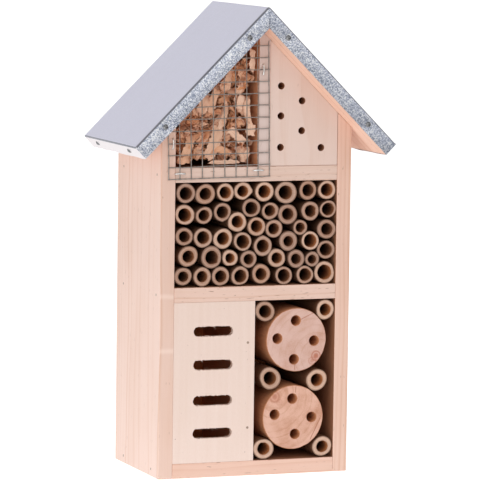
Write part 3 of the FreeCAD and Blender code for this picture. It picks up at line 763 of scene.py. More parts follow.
def cane_bore():
    """The soft inner wall of a cane, with painted shade that darkens it further in."""
    look = Look("cane_bore", 0.8)
    spot = look.place()
    line = look.noise(spot * (2.2, 0.10, 2.2), 1.0, 3.0)
    flake = look.noise(spot * (1.0, 0.5, 1.0))
    colour = look.mix(look.fact("tone"), (0.16, 0.060, 0.027), (0.78, 0.30, 0.10))
    colour = look.mix(line * 0.5, colour, (0.16, 0.055, 0.022))
    colour = look.mix(look.steps(flake, (0.62, 0.0), (0.74, 0.25)), colour, (0.56, 0.29, 0.15))
    # Painted shade: the bore turns nearly black with depth.
    deep = look.steps((spot["Y"] - BAY_FRONT) / 40.0, (0.06, 0.0), (0.45, 0.92))
    colour = look.mix(deep, colour, (0.030, 0.012, 0.007))
    return look.finish(colour, None, line, 0.12, 0.6)


def log_end(node):
    """Sawn end of a log: growth rings, knots, fine cracks and saw marks."""
    pith, width, light, late, knots, cracks = LOGS[node]
    look = Look(node + "_end", 0.68)
    spot = look.place(centre_of(node)) * (1.0, 0.02, 1.0)
    warp = (look.drift(spot, 0.06, 2.0) - (0.5, 0.5, 0.5)) * (6.0, 0.0, 6.0)
    stops = ((0.0, 0.1), (0.5, 0.0), (0.80, 0.4), (0.93, 1.0), (1.0, 0.1))
    radius = (spot + warp - (pith[0], 0.0, pith[1])).length()
    ring = look.growth(radius, width, (0.2, 1.5), stops, (0.6, 0.35))
    fuzz = look.noise(spot, 2.4, 3.0)
    cloud = look.noise(spot, 0.09)
    share = ring * 0.55 + (cloud * 2.2 - 0.92) + (fuzz * 2.0 - 0.97)
    colour = look.mix(look.clamped(share), light, late)
    for x, z, wide, dark in knots:
        spread = (spot - (x, 0.0, z)).length() / wide + (cloud * 0.5 - 0.25)
        knotty = look.steps(spread, (0.0, 0.9), (0.35, 0.7), (0.55, 0.15), (0.75, 0.75), (1.0, 0.0))
        colour = look.mix(knotty * dark, colour, (0.46, 0.15, 0.085))
    splits = []
    for x, z, turn, length in cracks:
        line = look.turned(spot + warp * (0.2, 0.0, 0.2) - (x, 0.0, z), turn)
        splits.append((abs(line["Z"]) < 0.26) * (abs(line["X"] - length / 2) < length / 2))
    split = sum(splits)
    colour = look.mix(split * 0.7, colour, (0.40, 0.13, 0.07))
    speck = look.steps(look.noise(spot, 0.9, 0.0), (0.86, 0.0), (0.88, 0.6))
    colour = look.mix(speck, colour, (0.30, 0.13, 0.07))
    saw = look.noise(spot * (0.25, 1.0, 4.0), 1.0, 1.0)
    return look.finish(colour, None, fuzz + saw * 0.8 - split * 2.0)


def log_side(name, light, dark):
    """The peeled side of a log, or the walls of its holes: rough fibres along Y."""
    look = Look(name, 0.8)
    spot = look.place()
    line = look.noise(spot * (1.4, 0.05, 1.4), 1.0, 4.0)
    stain = look.noise(spot * (0.2, 0.04, 0.2))
    colour = look.mix(stain * 0.4, look.mix(line, light, dark), shaded(light, 0.8))
    return look.finish(colour, None, line, 0.25, 0.7)


def shaving_look():
    """Thin planed wood: streaks along each shaving, from cream to orange."""
    look = Look("wood_shavings", 0.62)
    tone = look.fact("tone")
    spot = look.join(X=look.fact("mark") * 3.0, Y=look.fact("along") * 0.12, Z=tone * 50.0)
    streak = look.noise(spot, 1.0, 3.0)
    colour = look.mix(tone, (0.70, 0.31, 0.14), (0.88, 0.60, 0.45))
    colour = look.mix(look.steps(streak, (0.42, 0.0), (0.72, 0.6)), colour, (0.56, 0.22, 0.085))
    return look.finish(colour, None, streak + look.noise(spot * (3.0, 2.0, 1.0)), 0.08, 0.6)


def dress(material, *nodes):
    """Gives CAD nodes their material."""
    for node in nodes:
        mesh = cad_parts[node].data
        mesh.materials.clear()
        mesh.materials.append(material)


def dress_cad_nodes():
    """Each board has its own piece of pine, so no two show the same grain."""
    for node in BOARDS:
        dress(pine(node), node)
    dress(plywood("back_plywood", "back_panel", (0.74, 0.52, 0.39), (0.58, 0.37, 0.24), 5), "back_panel")
    zinc = metal("nail_zinc", (0.28, 0.28, 0.29), (0.11, 0.11, 0.11), 0.22, 1.4)
    dress(zinc, "roof_sheet_nails", "roof_board_nails")
    dress(metal("brad_steel", (0.50, 0.36, 0.28), (0.30, 0.20, 0.15), 0.5, 1.6, 0.4), "brads")
    dress(metal("screw_zinc", (0.62, 0.60, 0.52), (0.36, 0.34, 0.30), 0.3, 1.2), "hanger_screws")
    dress(metal("hanger_zinc", (0.60, 0.62, 0.64), (0.40, 0.41, 0.42), 0.34, 0.25), "hanger_plate")


# ---------------------------------------------------------------- canes
class Tube:
    """What the CAD says about one cane or log: its middle, radius and ends."""

    def __init__(self, name, node, points, faces):
        self.name = name
        self.node = node
        self.loops = front_loops(points, faces)
        used = used_points(points, faces)
        low, high = self.loops[0].min(axis=0), self.loops[0].max(axis=0)
        self.x, self.z = (high + low) / 2
        self.radius = (high - low).max() / 2
        self.front, self.back = used[:, 1].min(), used[:, 1].max()
        self.floors = [hole_floor(points, faces, loop) for loop in self.loops[1:]]


def tubes(nodes):
    """The tubes of some nodes. A node that groups several gives each its own name."""
    found = []
    for node in nodes:
        parts = solids(node)
        for number, part in enumerate(parts, 1):
            name = node if len(parts) == 1 else f"{node}_{number}"
            found.append(Tube(name, node, *part))
    return found


def free_space(tube, others, bay):
    """Directions in which a tube meets something, as (angle, distance it may reach)."""
    left, right, low, high = bay
    limits = [(0.0, right - tube.x), (math.pi, tube.x - left),
              (math.pi / 2, high - tube.z), (-math.pi / 2, tube.z - low)]
    for other in others:
        if other is not tube:
            distance = math.hypot(other.x - tube.x, other.z - tube.z)
            if distance < tube.radius + other.radius + NEIGHBOUR:
                share = (distance + tube.radius - other.radius) / 2
                limits.append((math.atan2(other.z - tube.z, other.x - tube.x), share))
    return [(angle, reach - CANE_GAP / 2) for angle, reach in limits]


def bumped(turn, bumps):
    """1 plus the bumps at this angle in radians."""
    total = 1.0
    for at, tall, wide in bumps:
        away = (math.degrees(turn) - at + 180) % 360 - 180
        total += tall * math.exp(-(away / wide) ** 2)
    return total


def cane(tube, others, bay, materials, rng):
    """A cane: irregular outline, sawn end, deep bore and the natural node that closes it."""
    limits = free_space(tube, others, bay)
    hole = tube.loops[1]
    bore = (hole.max(axis=0) - hole.min(axis=0)).max() / 2
    seed = rng.uniform(0, 100)
    oval, lean = rng.uniform(0.0, 0.045), rng.uniform(0, math.pi)
    corner, corner_turn = rng.uniform(0.0, 0.02), rng.uniform(0, math.pi)
    shift = (rng.uniform(-0.06, 0.06) * bore, rng.uniform(-0.06, 0.06) * bore)
    tilt = (rng.uniform(-0.03, 0.03), rng.uniform(-0.03, 0.03))
    turns = [2 * math.pi * i / CANE_POINTS for i in range(CANE_POINTS)]
    outer, inner = [], []
    for turn in turns:
        wave = smooth_noise(1.3 * math.cos(turn) + seed, 1.3 * math.sin(turn), seed)
        form = 1 + oval * math.cos(2 * (turn - lean)) + corner * math.cos(3 * (turn - corner_turn))
        form += 0.03 * wave
        reach = tube.radius * 0.995 * form * bumped(turn, CANE_BUMPS.get(tube.name, ()))
        for angle, limit in limits:
            if math.cos(turn - angle) > 0.2:
                reach = min(reach, limit / math.cos(turn - angle))
        outer.append(reach)
        ripple = 1 + 0.035 * smooth_noise(2.2 * math.cos(turn), 2.2 * math.sin(turn) + seed, seed + 9)
        inner.append(bore * (0.5 + 0.5 * form) * ripple * bumped(turn, BORE_BUMPS.get(tube.name, ())))
    outer, inner = np.array(outer), np.array(inner)

    def loop(radii, y, share=1.0):
        """Ring points at given radii. The share is 1 round the cane's middle and 0 round the bore's."""
        return [(tube.x + radii[i] * math.cos(turn) + shift[0] * (1 - share),
                 y, tube.z + radii[i] * math.sin(turn) + shift[1] * (1 - share))
                for i, turn in enumerate(turns)]

    def sawn(radii, dip, share):
        """Ring points on the end, which is cut a little out of square and is not quite flat."""
        points = []
        for x, _, z in loop(radii, 0.0, share):
            rough = 0.10 * smooth_noise(1.1 * x, 1.1 * z, seed) + 0.05 * smooth_noise(4 * x, 4 * z, seed)
            points.append((x, tube.front + dip + rough + tilt[0] * (x - tube.x) + tilt[1] * (z - tube.z), z))
        return points

    shape = Shape()
    rings = []

    def add(points, mark, slot):
        rings.append((shape.ring(points, mark), slot))

    length = tube.back - tube.front
    add(loop(outer - 0.4, tube.back), 1.0, 0)
    add(loop(outer, tube.back - 0.4), 1.0, 0)
    for share in (0.8, 0.6, 0.4, 0.2, 0.06):
        swell = 1 - 0.012 * (1 + smooth_noise(seed, 6 * share, 0.0)) * (share > 0.1)
        add(loop(outer * swell, tube.front + share * length), 1.0, 0)
    for dip, inset in ((0.45, 0.0), (0.14, 0.08), (0.03, 0.26)):
        add(sawn(outer - inset, dip, 1.0), 1.0, 0)
    for share in (0.86, 0.65, 0.43, 0.22, 0.06):
        add(sawn((outer - 0.26) * share + (inner + 0.1) * (1 - share), 0.0, share), share, 1)
    for dip, inset in ((0.06, 0.02), (0.35, 0.0)):
        add(sawn(inner + inset, dip, 0.0), 0.0, 1)
    floor_y = tube.floors[0]
    for share in (0.06, 0.2, 0.5, 0.96):
        swell = 1 + 0.04 * smooth_noise(seed, 9 * share, 5.0)
        add(loop(inner * swell, tube.front + share * (floor_y - tube.front), 0.0), 0.0, 2)
    add(loop(inner * 0.5, floor_y + 0.3, 0.0), 0.0, 2)
    for (first, _), (second, slot) in zip(rings, rings[1:]):
        shape.bridge([first, second], slot)
    shape.cap(rings[0][0], 1, mark=0.4)
    shape.cap(rings[-1][0], 2)
    tone = rng.uniform(0.52, 0.76) if tube.name in PALE_CANES else rng.uniform(0.08, 0.34)
    if tube.name.startswith("bay"):
        tone = min(1.0, tone * 1.45)
    warm = rng.uniform(0.6, 0.9) if tube.name in ORANGE_CANES else rng.uniform(0.0, 0.35)
    shape.piece(tube.name + "_cane", materials, "cane", tube.node, tone=tone, warm=warm)


# ---------------------------------------------------------------- logs and slotted panel
def drilled_log(tube, materials, rng):
    """A round of wood with a sawn end, drilled holes with torn edges and a rough peeled side."""
    shape = Shape()
    seed = rng.uniform(0, 100)

    def rough_side(loop, y):
        moved = []
        for x, z in loop:
            turn = math.atan2(z - tube.z, x - tube.x)
            groove = smooth_noise(9 * math.cos(turn), 9 * math.sin(turn), seed + 0.03 * y)
            broad = smooth_noise(1.1 * math.cos(turn), 1.1 * math.sin(turn), seed)
            pull = 1 + (0.16 * groove - 0.16 + 0.25 * broad - 0.2) / tube.radius
            moved.append((tube.x + (x - tube.x) * pull, tube.z + (z - tube.z) * pull))
        return np.array(moved)

    def height(x, z):
        return tube.front + 0.05 + 0.05 * smooth_noise(0.3 * x, 2.2 * z, seed)

    outline = resample(tube.loops[0], LOG_POINTS)
    waves = np.array([0.12 * smooth_noise(3 * x, 3 * z, seed) for x, z in outline])
    rim = rough_side(outline, tube.front)
    rim = offset(rim, -0.32) + (offset(rim, 1) - rim) * waves[:, None]
    holes = [resample(loop, LOG_HOLE_POINTS) for loop in tube.loops[1:]]
    mouths = []
    for hole in holes:
        torn = np.array([0.10 * smooth_noise(2.5 * x, 2.5 * z, seed + 7) for x, z in hole])
        mouths.append(offset(hole, 0.16) + (offset(hole, 1) - hole) * torn[:, None])
    loops = [rim] + mouths
    rings = [shape.ring([(x, height(x, z), z) for x, z in loop]) for loop in loops]
    fill(shape, loops, rings, 1.5, height, rng)
    side = [rings[0]]
    for y in (tube.front + 0.35, tube.front + 2.0, tube.front + 12.0, tube.front + 30.0, tube.back - 0.5):
        side.append(shape.ring(lift(rough_side(outline, y), y)))
    side.append(shape.ring(lift(offset(rough_side(outline, tube.back), -0.5), tube.back)))
    shape.bridge(side, 1)
    shape.cap(side[-1], 0)
    for hole, mouth, floor_y in zip(holes, rings[1:], tube.floors):
        walls = [mouth]
        for y in (tube.front + 0.3, tube.front + 8.0, tube.front + 25.0, floor_y):
            walls.append(shape.ring(lift(hole, y)))
        shape.bridge(walls, 2)
        middle = hole.mean(axis=0)
        shape.cap(walls[-1], 2, (middle[0], floor_y + 1.5, middle[1]))
    shape.piece(tube.name + "_wood", materials, "log", tube.node)


def slotted_front(material, rng):
    """The plywood panel: its slots have torn upper and lower edges, with loose fibres."""
    node = "slotted_panel"
    loops = front_loops(*solids(node)[0])
    low, high = box(node)
    shape = Shape()

    def torn(loop, seed):
        """A slot's edge, ragged along its level sides."""
        fine = densify(loop, 0.45)
        outward = offset(fine, 1.0) - fine
        moves = []
        for (x, z), (_, nz) in zip(fine, outward):
            wave = 0.30 * smooth_noise(0.8 * x, 0.3 * z, seed) + 0.28 * smooth_noise(2.6 * x, z, seed)
            chip = max(0.0, smooth_noise(1.7 * x, 0.5 * z, seed + 5) - 0.2) * 1.3
            moves.append((wave - chip) * (0.25 + 0.75 * abs(nz)))
        return fine + outward * np.array(moves)[:, None]

    def height(x, z):
        return low.y + 0.03 + 0.03 * smooth_noise(0.08 * x, 0.08 * z, 3.0)

    outline = densify(loops[0], 3.0)
    slots = [loop for loop in loops[1:] if abs(area(loop)) > SMALLEST_SLOT]
    brads = [loop for loop in loops[1:] if abs(area(loop)) <= SMALLEST_SLOT]
    fronts = [offset(outline, -0.15)] + [torn(loop, 11.0 * i) for i, loop in enumerate(slots)] + brads
    backs = [outline] + [torn(loop, 11.0 * i + 4) for i, loop in enumerate(slots)] + brads
    near = [shape.ring([(x, height(x, z), z) for x, z in loop]) for loop in fronts]
    far = [shape.ring(lift(loop, high.y)) for loop in backs]
    fill(shape, fronts, near, 3.5, height, rng)
    fill(shape, backs, far, 6.0, lambda x, z: high.y, rng)
    edge = shape.ring(lift(outline, low.y + 0.2))
    shape.bridge([near[0], edge, far[0]])
    for number in range(1, len(fronts)):
        walls = [near[number], far[number]]
        if number <= len(slots):
            middle = shape.ring(lift((fronts[number] + backs[number]) / 2, (low.y + high.y) / 2))
            walls.insert(1, middle)
        shape.bridge(walls)
        if number <= len(slots):
            loose_fibres(shape, fronts[number], low.y, high.y, rng)
    shape.piece("slotted_front_panel", [material], "plywood", node)


def loose_fibres(shape, loop, front, back, rng):
    """Thin splinters that hang into a slot from its level edges."""
    middle = loop.mean(axis=0)
    for _ in range(SPLINTERS):
        x, z = loop[rng.randrange(len(loop))]
        if abs(x - middle[0]) > SLOT_STRAIGHT:
            continue
        inward = math.copysign(1.0, middle[1] - z)
        root = Vector((x, rng.uniform(front + 0.15, (front + back) / 2), z - inward * 0.3))
        reach = rng.uniform(0.5, 1.3) if rng.random() < 0.85 else rng.uniform(1.6, 2.6)
        bend = Vector((rng.uniform(-0.8, 0.8), rng.uniform(-0.5, 0.3), inward)) * reach
        path = [root, root + bend * 0.4, root + bend * 0.75 + Vector((0.15, 0, 0)), root + bend]
        thick = rng.uniform(0.09, 0.18)
        rod(shape, path, lambda i, thick=thick: thick * (1 - 0.28 * i), 5)


# ---------------------------------------------------------------- roof
class Sheet:
    """The measures of the folded sheet and places on it. The profile runs across the roof, from one
    eave over the ridge to the other; the rows run from the back to the front and down the flange."""

    def __init__(self):
        self.low, self.high = box("roof_sheet")
        rounding = BEND * (ROOT_TWO - 1)
        self.ridge = self.high.z + rounding
        self.slope = (self.high.x + rounding) * ROOT_TWO
        self.flange = (self.ridge - self.low.z) * ROOT_TWO - self.slope
        self.seats = [self.seat(used_points(*nail)) for nail in solids("roof_sheet_nails")]

    def seat(self, nail):
        """Where a nail passes through the sheet."""
        x, y, z = (nail.min(axis=0) + nail.max(axis=0)) / 2
        in_front = np.ptp(nail[:, 1]) > 10
        if in_front:
            return Vector((x, self.low.y, z))
        side = math.copysign(1.0, nail[:, 0].mean())
        outermost = nail[np.argmax(side * nail[:, 0] - nail[:, 2])]
        return Vector((outermost[0], y, outermost[2]))

    def on_slope(self, side, along, below):
        """A point on one side of the ridge, along the slope and below it."""
        return Vector((side * (along - below) / ROOT_TWO, 0, self.ridge - (along + below) / ROOT_TWO))

    def half_profile(self, side):
        """Points over one slope, from the ridge to the tip of the eave flange, and which are on the slope."""
        out = Vector((side, 0, 1)).normalized()
        down = Vector((side, 0, -1)).normalized()
        top = Vector((0, 0, self.ridge - BEND * ROOT_TWO))
        turns = [math.pi / 4 * i / 3 for i in range(4)]
        points = [top + Vector((side * math.sin(turn), 0, math.cos(turn))) * BEND for turn in turns]
        straight = self.slope - 2 * BEND
        count = round(straight / SHEET_STEP)
        points += [self.on_slope(side, BEND + straight * i / count, 0) for i in range(1, count + 1)]
        on_top = len(points)
        corner = self.on_slope(side, self.slope - BEND, BEND)
        turns = [math.pi / 2 * i / BEND_STEPS for i in range(1, BEND_STEPS + 1)]
        points += [corner + (out * math.cos(turn) + down * math.sin(turn)) * BEND for turn in turns]
        drop = self.flange - BEND
        count = round(drop / SHEET_STEP)
        points += [self.on_slope(side, self.slope, BEND + drop * i / count) for i in range(1, count + 1)]
        return [(side, point, i < on_top) for i, point in enumerate(points)]

    def rows(self):
        """The kind of each row, with its y on the slope, its angle in the bend or its drop below it."""
        depth = self.high.y - (self.low.y + BEND)
        deep = round(depth / (1.6 * SHEET_STEP))
        drop = self.flange - BEND
        steps = round(drop / (0.7 * SHEET_STEP))
        return ([("top", self.high.y - depth * i / deep) for i in range(deep + 1)]
                + [("bend", math.pi / 2 * i / BEND_STEPS) for i in range(1, BEND_STEPS + 1)]
                + [("drop", BEND + drop * i / steps) for i in range(1, steps + 1)])

    def place(self, side, point, on_top, kind, value):
        """A point of the outer surface, still without its waves."""
        if kind == "top":
            place = Vector((point.x, value, point.z))
            if not on_top:
                below = (self.ridge - point.z) * ROOT_TWO - self.slope
                ragged = 0.7 * smooth_noise(0.045 * value, side, 9.0) * (below / self.flange) ** 2
                place += Vector((-side, 0, -1)).normalized() * ragged
            return place
        if kind == "bend" and not on_top:
            y = self.low.y + (BEND - 0.02) * (1 - value / math.pi * 2) + 0.02
            return Vector((point.x, y, point.z))
        down = BEND * (1 - math.cos(value)) if kind == "bend" else value
        along = min(max(side * point.x * ROOT_TWO / (self.slope - BEND), 0.0), 1.0)
        if along == 1.0:
            place = self.on_slope(side, self.slope - BEND + min(down, BEND), down)
        else:
            foot = self.on_slope(side, self.flange + along * (self.slope - self.flange), self.flange)
            foot.x = side * max(side * foot.x, SEAM / 2)
            place = point.lerp(foot, down / self.flange)
        place.y = self.low.y + BEND * (1 - math.sin(value)) if kind == "bend" else self.low.y
        return place

    def relief(self, place, side, kind, value):
        """How far a flange stands out here: it bulges between the nails and is dished round them."""
        past, to_corner = 1.0, place.y - self.low.y
        if kind == "drop":
            past = (value - BEND) / (self.flange - BEND)
            to_corner = self.slope - (side * place.x + self.ridge - place.z) / ROOT_TWO
        near = min((place - seat).length for seat in self.seats)
        out = BULGE * math.sin(min(past * 1.2, 1.0) * math.pi / 2) * (1 - math.exp(-(near / DISH) ** 2))
        out *= min(max(to_corner, 0.0) / CORNER_FADE, 1.0)
        return out + 0.2 * past * smooth_noise(0.07 * place.x, 0.09 * place.y, 0.07 * place.z)

    def wave(self, grid, normal, side, point, on_top, kind, value):
        """Moves one point of the grid out of the plain folded shape."""
        place = Vector(grid)
        if kind == "drop":
            grid[1] -= self.relief(place, side, kind, value)
        elif not on_top:
            share = min(1.0, (point - self.on_slope(side, self.slope, 0)).length / self.flange)
            grid += normal * self.relief(place, side, kind, value) * share
        elif kind == "top":
            grid += normal * 0.12 * smooth_noise(0.03 * place.x, 0.03 * place.y, 4.0)

    def dark_bend_reflection(self, side, point, on_top, kind, value):
        """The mark of a point, above zero along the bends, where a dark reflection is painted."""
        behind = value - (self.low.y + BEND)
        if on_top and kind == "bend":
            return 1.0 if value < 1.5 else 0.0
        if on_top and kind == "top":
            return 0.95 if behind < 0.1 else 0.3 if behind < 1.9 else 0.0
        at_eave = (point - self.on_slope(side, self.slope, 0)).length < 0.8 * BEND
        return 0.7 if kind == "top" and at_eave else 0.0


def roof(material):
    """The folded sheet, with rounded bends, flanges dished round their nails and slightly wavy edges."""
    sheet = Sheet()
    left, right = sheet.half_profile(-1), sheet.half_profile(1)
    profile = left[::-1] + right
    rows = sheet.rows()
    width = len(rows)
    grid = np.array([[sheet.place(*spot, *row) for row in rows] for spot in profile])
    normals = grid_normals(grid)
    normals *= math.copysign(1.0, normals[len(profile) // 4, 3, 2])
    for i, spot in enumerate(profile):
        for j, row in enumerate(rows):
            sheet.wave(grid[i, j], normals[i, j], *spot, *row)
    shape = Shape()
    outer = shape.ring(grid.reshape(-1, 3))
    inner = shape.ring((grid - normals * SHEET).reshape(-1, 3))
    shape.marks[:len(outer)] = [sheet.dark_bend_reflection(*spot, *row) for spot in profile for row in rows]
    missing = set()
    for i in range(len(profile) - 1):
        on_slopes = profile[i][2] and profile[i + 1][2]
        for j in range(width - 1):
            in_seam = i == len(left) - 1 and rows[j][0] == "drop"
            past_corner = rows[j + 1][0] == "drop" and not on_slopes
            if in_seam or past_corner:
                missing.add(i * width + j)
    shape.shell(outer, inner, width, missing)
    shape.piece("folded_roof_sheet", [material], "galvanised_sheet", "roof_sheet", sharp=50)


# ---------------------------------------------------------------- wire mesh
def welded_mesh(material, rng):
    """Upright wires with level wires welded on in front. The wires are slightly bent."""
    low, high = box("wire_mesh")
    shape = Shape()
    half = WIRE / 2
    corner_x, corner_z = low.x + MESH_CORNER[0], low.z + MESH_CORNER[1]
    lean = math.radians(MESH_LEAN)
    upright_y, level_y = high.y - half, low.y + half
    width, height = (WIRE_COLUMNS - 1) * WIRE_PITCH, (WIRE_ROWS - 1) * WIRE_PITCH

    def wire(seed, fixed, start, end, upright):
        """One wire at a fixed distance across the mesh, as a tube thicker at each weld."""
        crossings = [k * WIRE_PITCH for k in range(WIRE_ROWS if upright else WIRE_COLUMNS)]
        path, radii = [], []
        for run in np.arange(start, end, 0.5):
            sway = 0.30 * smooth_noise(0.04 * run, seed, 0.0) + 0.05 * smooth_noise(0.3 * run, seed, 2.0)
            across, up = (fixed + sway, run) if upright else (run, fixed + sway)
            x = corner_x + across * math.cos(lean) - up * math.sin(lean)
            z = corner_z + across * math.sin(lean) + up * math.cos(lean)
            if z < UNDERSIDE_TOP - abs(x) - ROOF_GAP:
                y = (upright_y if upright else level_y) + 0.1 * smooth_noise(0.1 * run, seed, 1)
                path.append((x, y, z))
                weld = max(math.exp(-((run - crossing) / 0.55) ** 2) for crossing in crossings)
                radii.append(half * (0.86 + 0.14 * weld))
        rod(shape, path, lambda i: radii[i], 10)

    for column in range(WIRE_COLUMNS):
        top = height + WIRE_TOP - rng.uniform(0.0, 0.8)
        wire(column * 3.7, column * WIRE_PITCH, rng.uniform(-WIRE_END, -0.4), top, True)
    for row in range(WIRE_ROWS):
        start, end = rng.uniform(-WIRE_END, -0.4), width + rng.uniform(0.4, WIRE_END)
        wire(50 + row * 2.9, row * WIRE_PITCH, start, end, False)
    shape.piece("welded_wires", [material], "galvanised_wire", "wire_mesh", sharp=60)


def bent_staples(material, rng):
    """Four staples: each has a slightly bowed crown over a wire and two legs driven into the wood."""
    shape = Shape()
    front = box("attic_divider")[0].y
    for staple in solids("mesh_staples"):
        used = used_points(*staple)
        low, high = Vector(used.min(axis=0)), Vector(used.max(axis=0))
        middle = (low + high) / 2
        along = Vector((1, 0, 0)) if high.x - low.x > high.z - low.z else Vector((0, 0, 1))
        aside = Vector((along.z, 0, along.x))
        half = (high - low).dot(along) / 2 - STAPLE_WIRE
        crown = low.y + STAPLE_WIRE
        path = [(middle - along * half, y) for y in (high.y, front + 0.6, front - 0.6)]
        for i in range(9):
            share = i / 4 - 1
            bow = 0.35 * abs(share) ** 3 + 0.12 * smooth_noise(3 * share, middle.x, middle.z)
            spot = middle + along * (half * 0.94 * share) + aside * 0.3 * (1 - share * share)
            path.append((spot, crown + bow))
        path += [(middle + along * half, y) for y in (front - 0.6, front + 0.6, high.y)]
        spots = [Vector((place.x, y, place.z)) for place, y in path]
        thick = STAPLE_WIRE * rng.uniform(0.94, 1.0)
        rod(shape, spots, lambda i, thick=thick: thick * (1.0 if 0 < i < len(spots) - 1 else 0.4), 12)
    shape.piece("bent_staples", [material], "staple_steel", "mesh_staples", sharp=60)


# ---------------------------------------------------------------- wood shavings
class Chamber:
    """The space that the shavings fill."""

    def __init__(self):
        self.low, self.high = box("wood_shavings")
        self.roof = self.high.z + abs(self.high.x)

    def hold(self, point, slack):
        """The point, moved into the space if it was outside. The slack keeps flattened parts apart."""
        x = min(max(point[0], self.low.x + slack), self.high.x - slack)
        y = min(max(point[1], self.low.y + slack), self.high.y - slack)
        z = max(point[2], self.low.z + slack)
        above = (z - (self.roof - abs(x)) + slack) / 2
        if above > 0:
            z -= above
            x += above
        return Vector((x, y, z))


def ribbon(start, along, facing, length, width, curl, twist, seed):
    """A grid of points over one ribbon, which curls about its own width and may twist.
    The curl is how far it turns over its length, in radians."""
    steps = max(8, min(30, round(length / 0.95)))
    across = max(3, min(7, round(width / 1.1)))
    along = Vector(along).normalized()
    facing = Vector(facing)
    facing = (facing - along * facing.dot(along)).normalized()
    place = Vector(start)
    rows = []
    for i in range(steps + 1):
        share = i / steps
        side = along.cross(facing)
        ends = min(1.0, 0.35 + 5 * share, 0.35 + 5 * (1 - share))
        row = []
        for j in range(across + 1):
            over = 2 * j / across - 1
            torn = 0.5 * smooth_noise(0.8 * length * share, seed, 3 + math.copysign(2, over)) * abs(over) ** 2
            jag = 2.6 * smooth_noise(2.6 * over, seed, 7) * (2 * share - 1) ** 5
            reach = over * width / 2 * (ends * (1 + 0.3 * smooth_noise(3 * share, seed, 0)) + torn)
            crease = CRINKLE * smooth_noise(0.32 * length * share, 0.35 * over * width, seed + 21)
            crease += 0.4 * CRINKLE * smooth_noise(0.9 * length * share, 0.8 * over * width, seed + 33)
            bow = 0.07 * width * over * over
            row.append(place + side * reach + along * jag + facing * (bow + crease))
        rows.append(row)
        bend = curl / steps * (1 + 0.8 * smooth_noise(4 * share, seed, 11))
        roll = twist / steps * (1 + smooth_noise(3 * share, seed, 13))
        place = place + along * (length / steps)
        turned = along * math.cos(bend) - facing * math.sin(bend)
        facing = facing * math.cos(bend) + along * math.sin(bend)
        along = turned
        facing = (facing * math.cos(roll) + along.cross(facing) * math.sin(roll)).normalized()
    return rows


def shaving(shape, chamber, rows, width, length, thick, slack, tone, facts):
    """Adds one ribbon to the mesh as a thin closed body."""
    grid = np.array([[chamber.hold(point, slack) for point in row] for row in rows])
    normals = grid_normals(grid)
    top, under = [shape.ring((grid + normals * thick * half).reshape(-1, 3)) for half in (0.5, -0.5)]
    steps, wide = len(rows) - 1, len(rows[0])
    for layer in (top, under):
        for number, index in enumerate(layer):
            shape.marks[index] = ((number % wide) / (wide - 1) - 0.5) * width
            facts["along"].append(length * (number // wide) / steps)
            facts["tone"].append(tone)
    shape.shell(top, under, wide)


def loose_ribbon(chamber, depth, size, rng):
    """A ribbon somewhere in a layer, with its width and length, or nothing if it reaches too far out."""
    x = rng.uniform(chamber.low.x + 1, chamber.high.x - 4)
    start = Vector((x, depth + rng.uniform(-3, 3) * size,
                    rng.uniform(chamber.low.z + 1, chamber.roof - abs(x) - 2)))
    turn = rng.gauss(0.9, 0.9)
    along = Vector((math.cos(turn), rng.gauss(0, 0.5), math.sin(turn)))
    flat = 1.0 if rng.random() < 0.45 else 0.25
    facing = Vector((rng.gauss(0, 0.9), -flat, rng.gauss(0.1, 0.9)))
    length, width = rng.uniform(7, 17) * size, rng.uniform(2.0, 6.5) * size
    curl = rng.choice((rng.uniform(0.5, 1.5), rng.uniform(1.5, 3.0), rng.uniform(3.0, 7.0)))
    curl *= rng.choice((-1, 1, 1))
    rows = ribbon(start, along, facing, length, width, curl, rng.gauss(0, 0.9), rng.uniform(0, 100))
    stray = max((chamber.hold(point, 0.2) - point).length for row in rows for point in row)
    return (rows, width, length) if stray < STRAY else None


def shavings(material, rng):
    """Curled shavings, packed closely behind the mesh and loosely further back."""
    chamber = Chamber()
    shape = Shape()
    facts = {"along": [], "tone": []}
    for start, end, facing, width, curl, twist, tone in LEADING_SHAVINGS:
        start, end = Vector(start), Vector(end)
        length = (end - start).length
        length *= max(1.0, abs(curl) / 2 / max(math.sin(min(abs(curl), 5.0) / 2), 0.3))
        bow = math.copysign(min(abs(curl) / 2, 1.4), curl)
        facing = Vector(facing).normalized()
        along = (end - start).normalized()
        along = along * math.cos(bow) + facing * math.sin(bow)
        rows = ribbon(start, along, facing, length, width, curl, twist, rng.uniform(0, 100))
        shaving(shape, chamber, rows, width, length, 0.20, rng.uniform(0.0, 0.5), tone, facts)
    for depth, count, size, tone in SHAVING_LAYERS:
        for _ in range(count):
            found = next(filter(None, (loose_ribbon(chamber, depth, size, rng) for _ in range(TRIES))), None)
            if found:
                thick, slack = rng.uniform(0.12, 0.22), rng.uniform(0.15, 0.5)
                # Each shaving's tone is a random share of its layer's palest tone, which falls with depth in
                # most layers as painted shade.
                shaving(shape, chamber, *found, thick, slack, tone * rng.random(), facts)
    shape.piece("curled_shavings", [material], "shavings", "wood_shavings", sharp=60, **facts)


# ---------------------------------------------------------------- studio
def floor():
    """A large pale floor. It glows, so that it stays evenly pale."""
    work = bmesh.new()
    bmesh.ops.create_circle(work, cap_ends=True, radius=14.0, segments=96)
    mesh = bpy.data.meshes.new("floor")
    work.to_mesh(mesh)
    work.free()
    made = bpy.data.objects.new("floor", mesh)
    made.location = (0, 0, -0.0002)
    made.visible_diffuse = False
    made.visible_glossy = False
    bpy.context.scene.collection.objects.link(made)
    look = Look("pale_floor", 0.9)
    mottle = look.noise(look.place(), 0.01)
    look.finish(look.mix(mottle, (0.80, 0.80, 0.80), (0.84, 0.84, 0.84)))
    look.shader.inputs["Emission Color"].default_value = (1, 1, 1, 1)
    look.shader.inputs["Emission Strength"].default_value = 0.75
    mesh.materials.append(look.material)


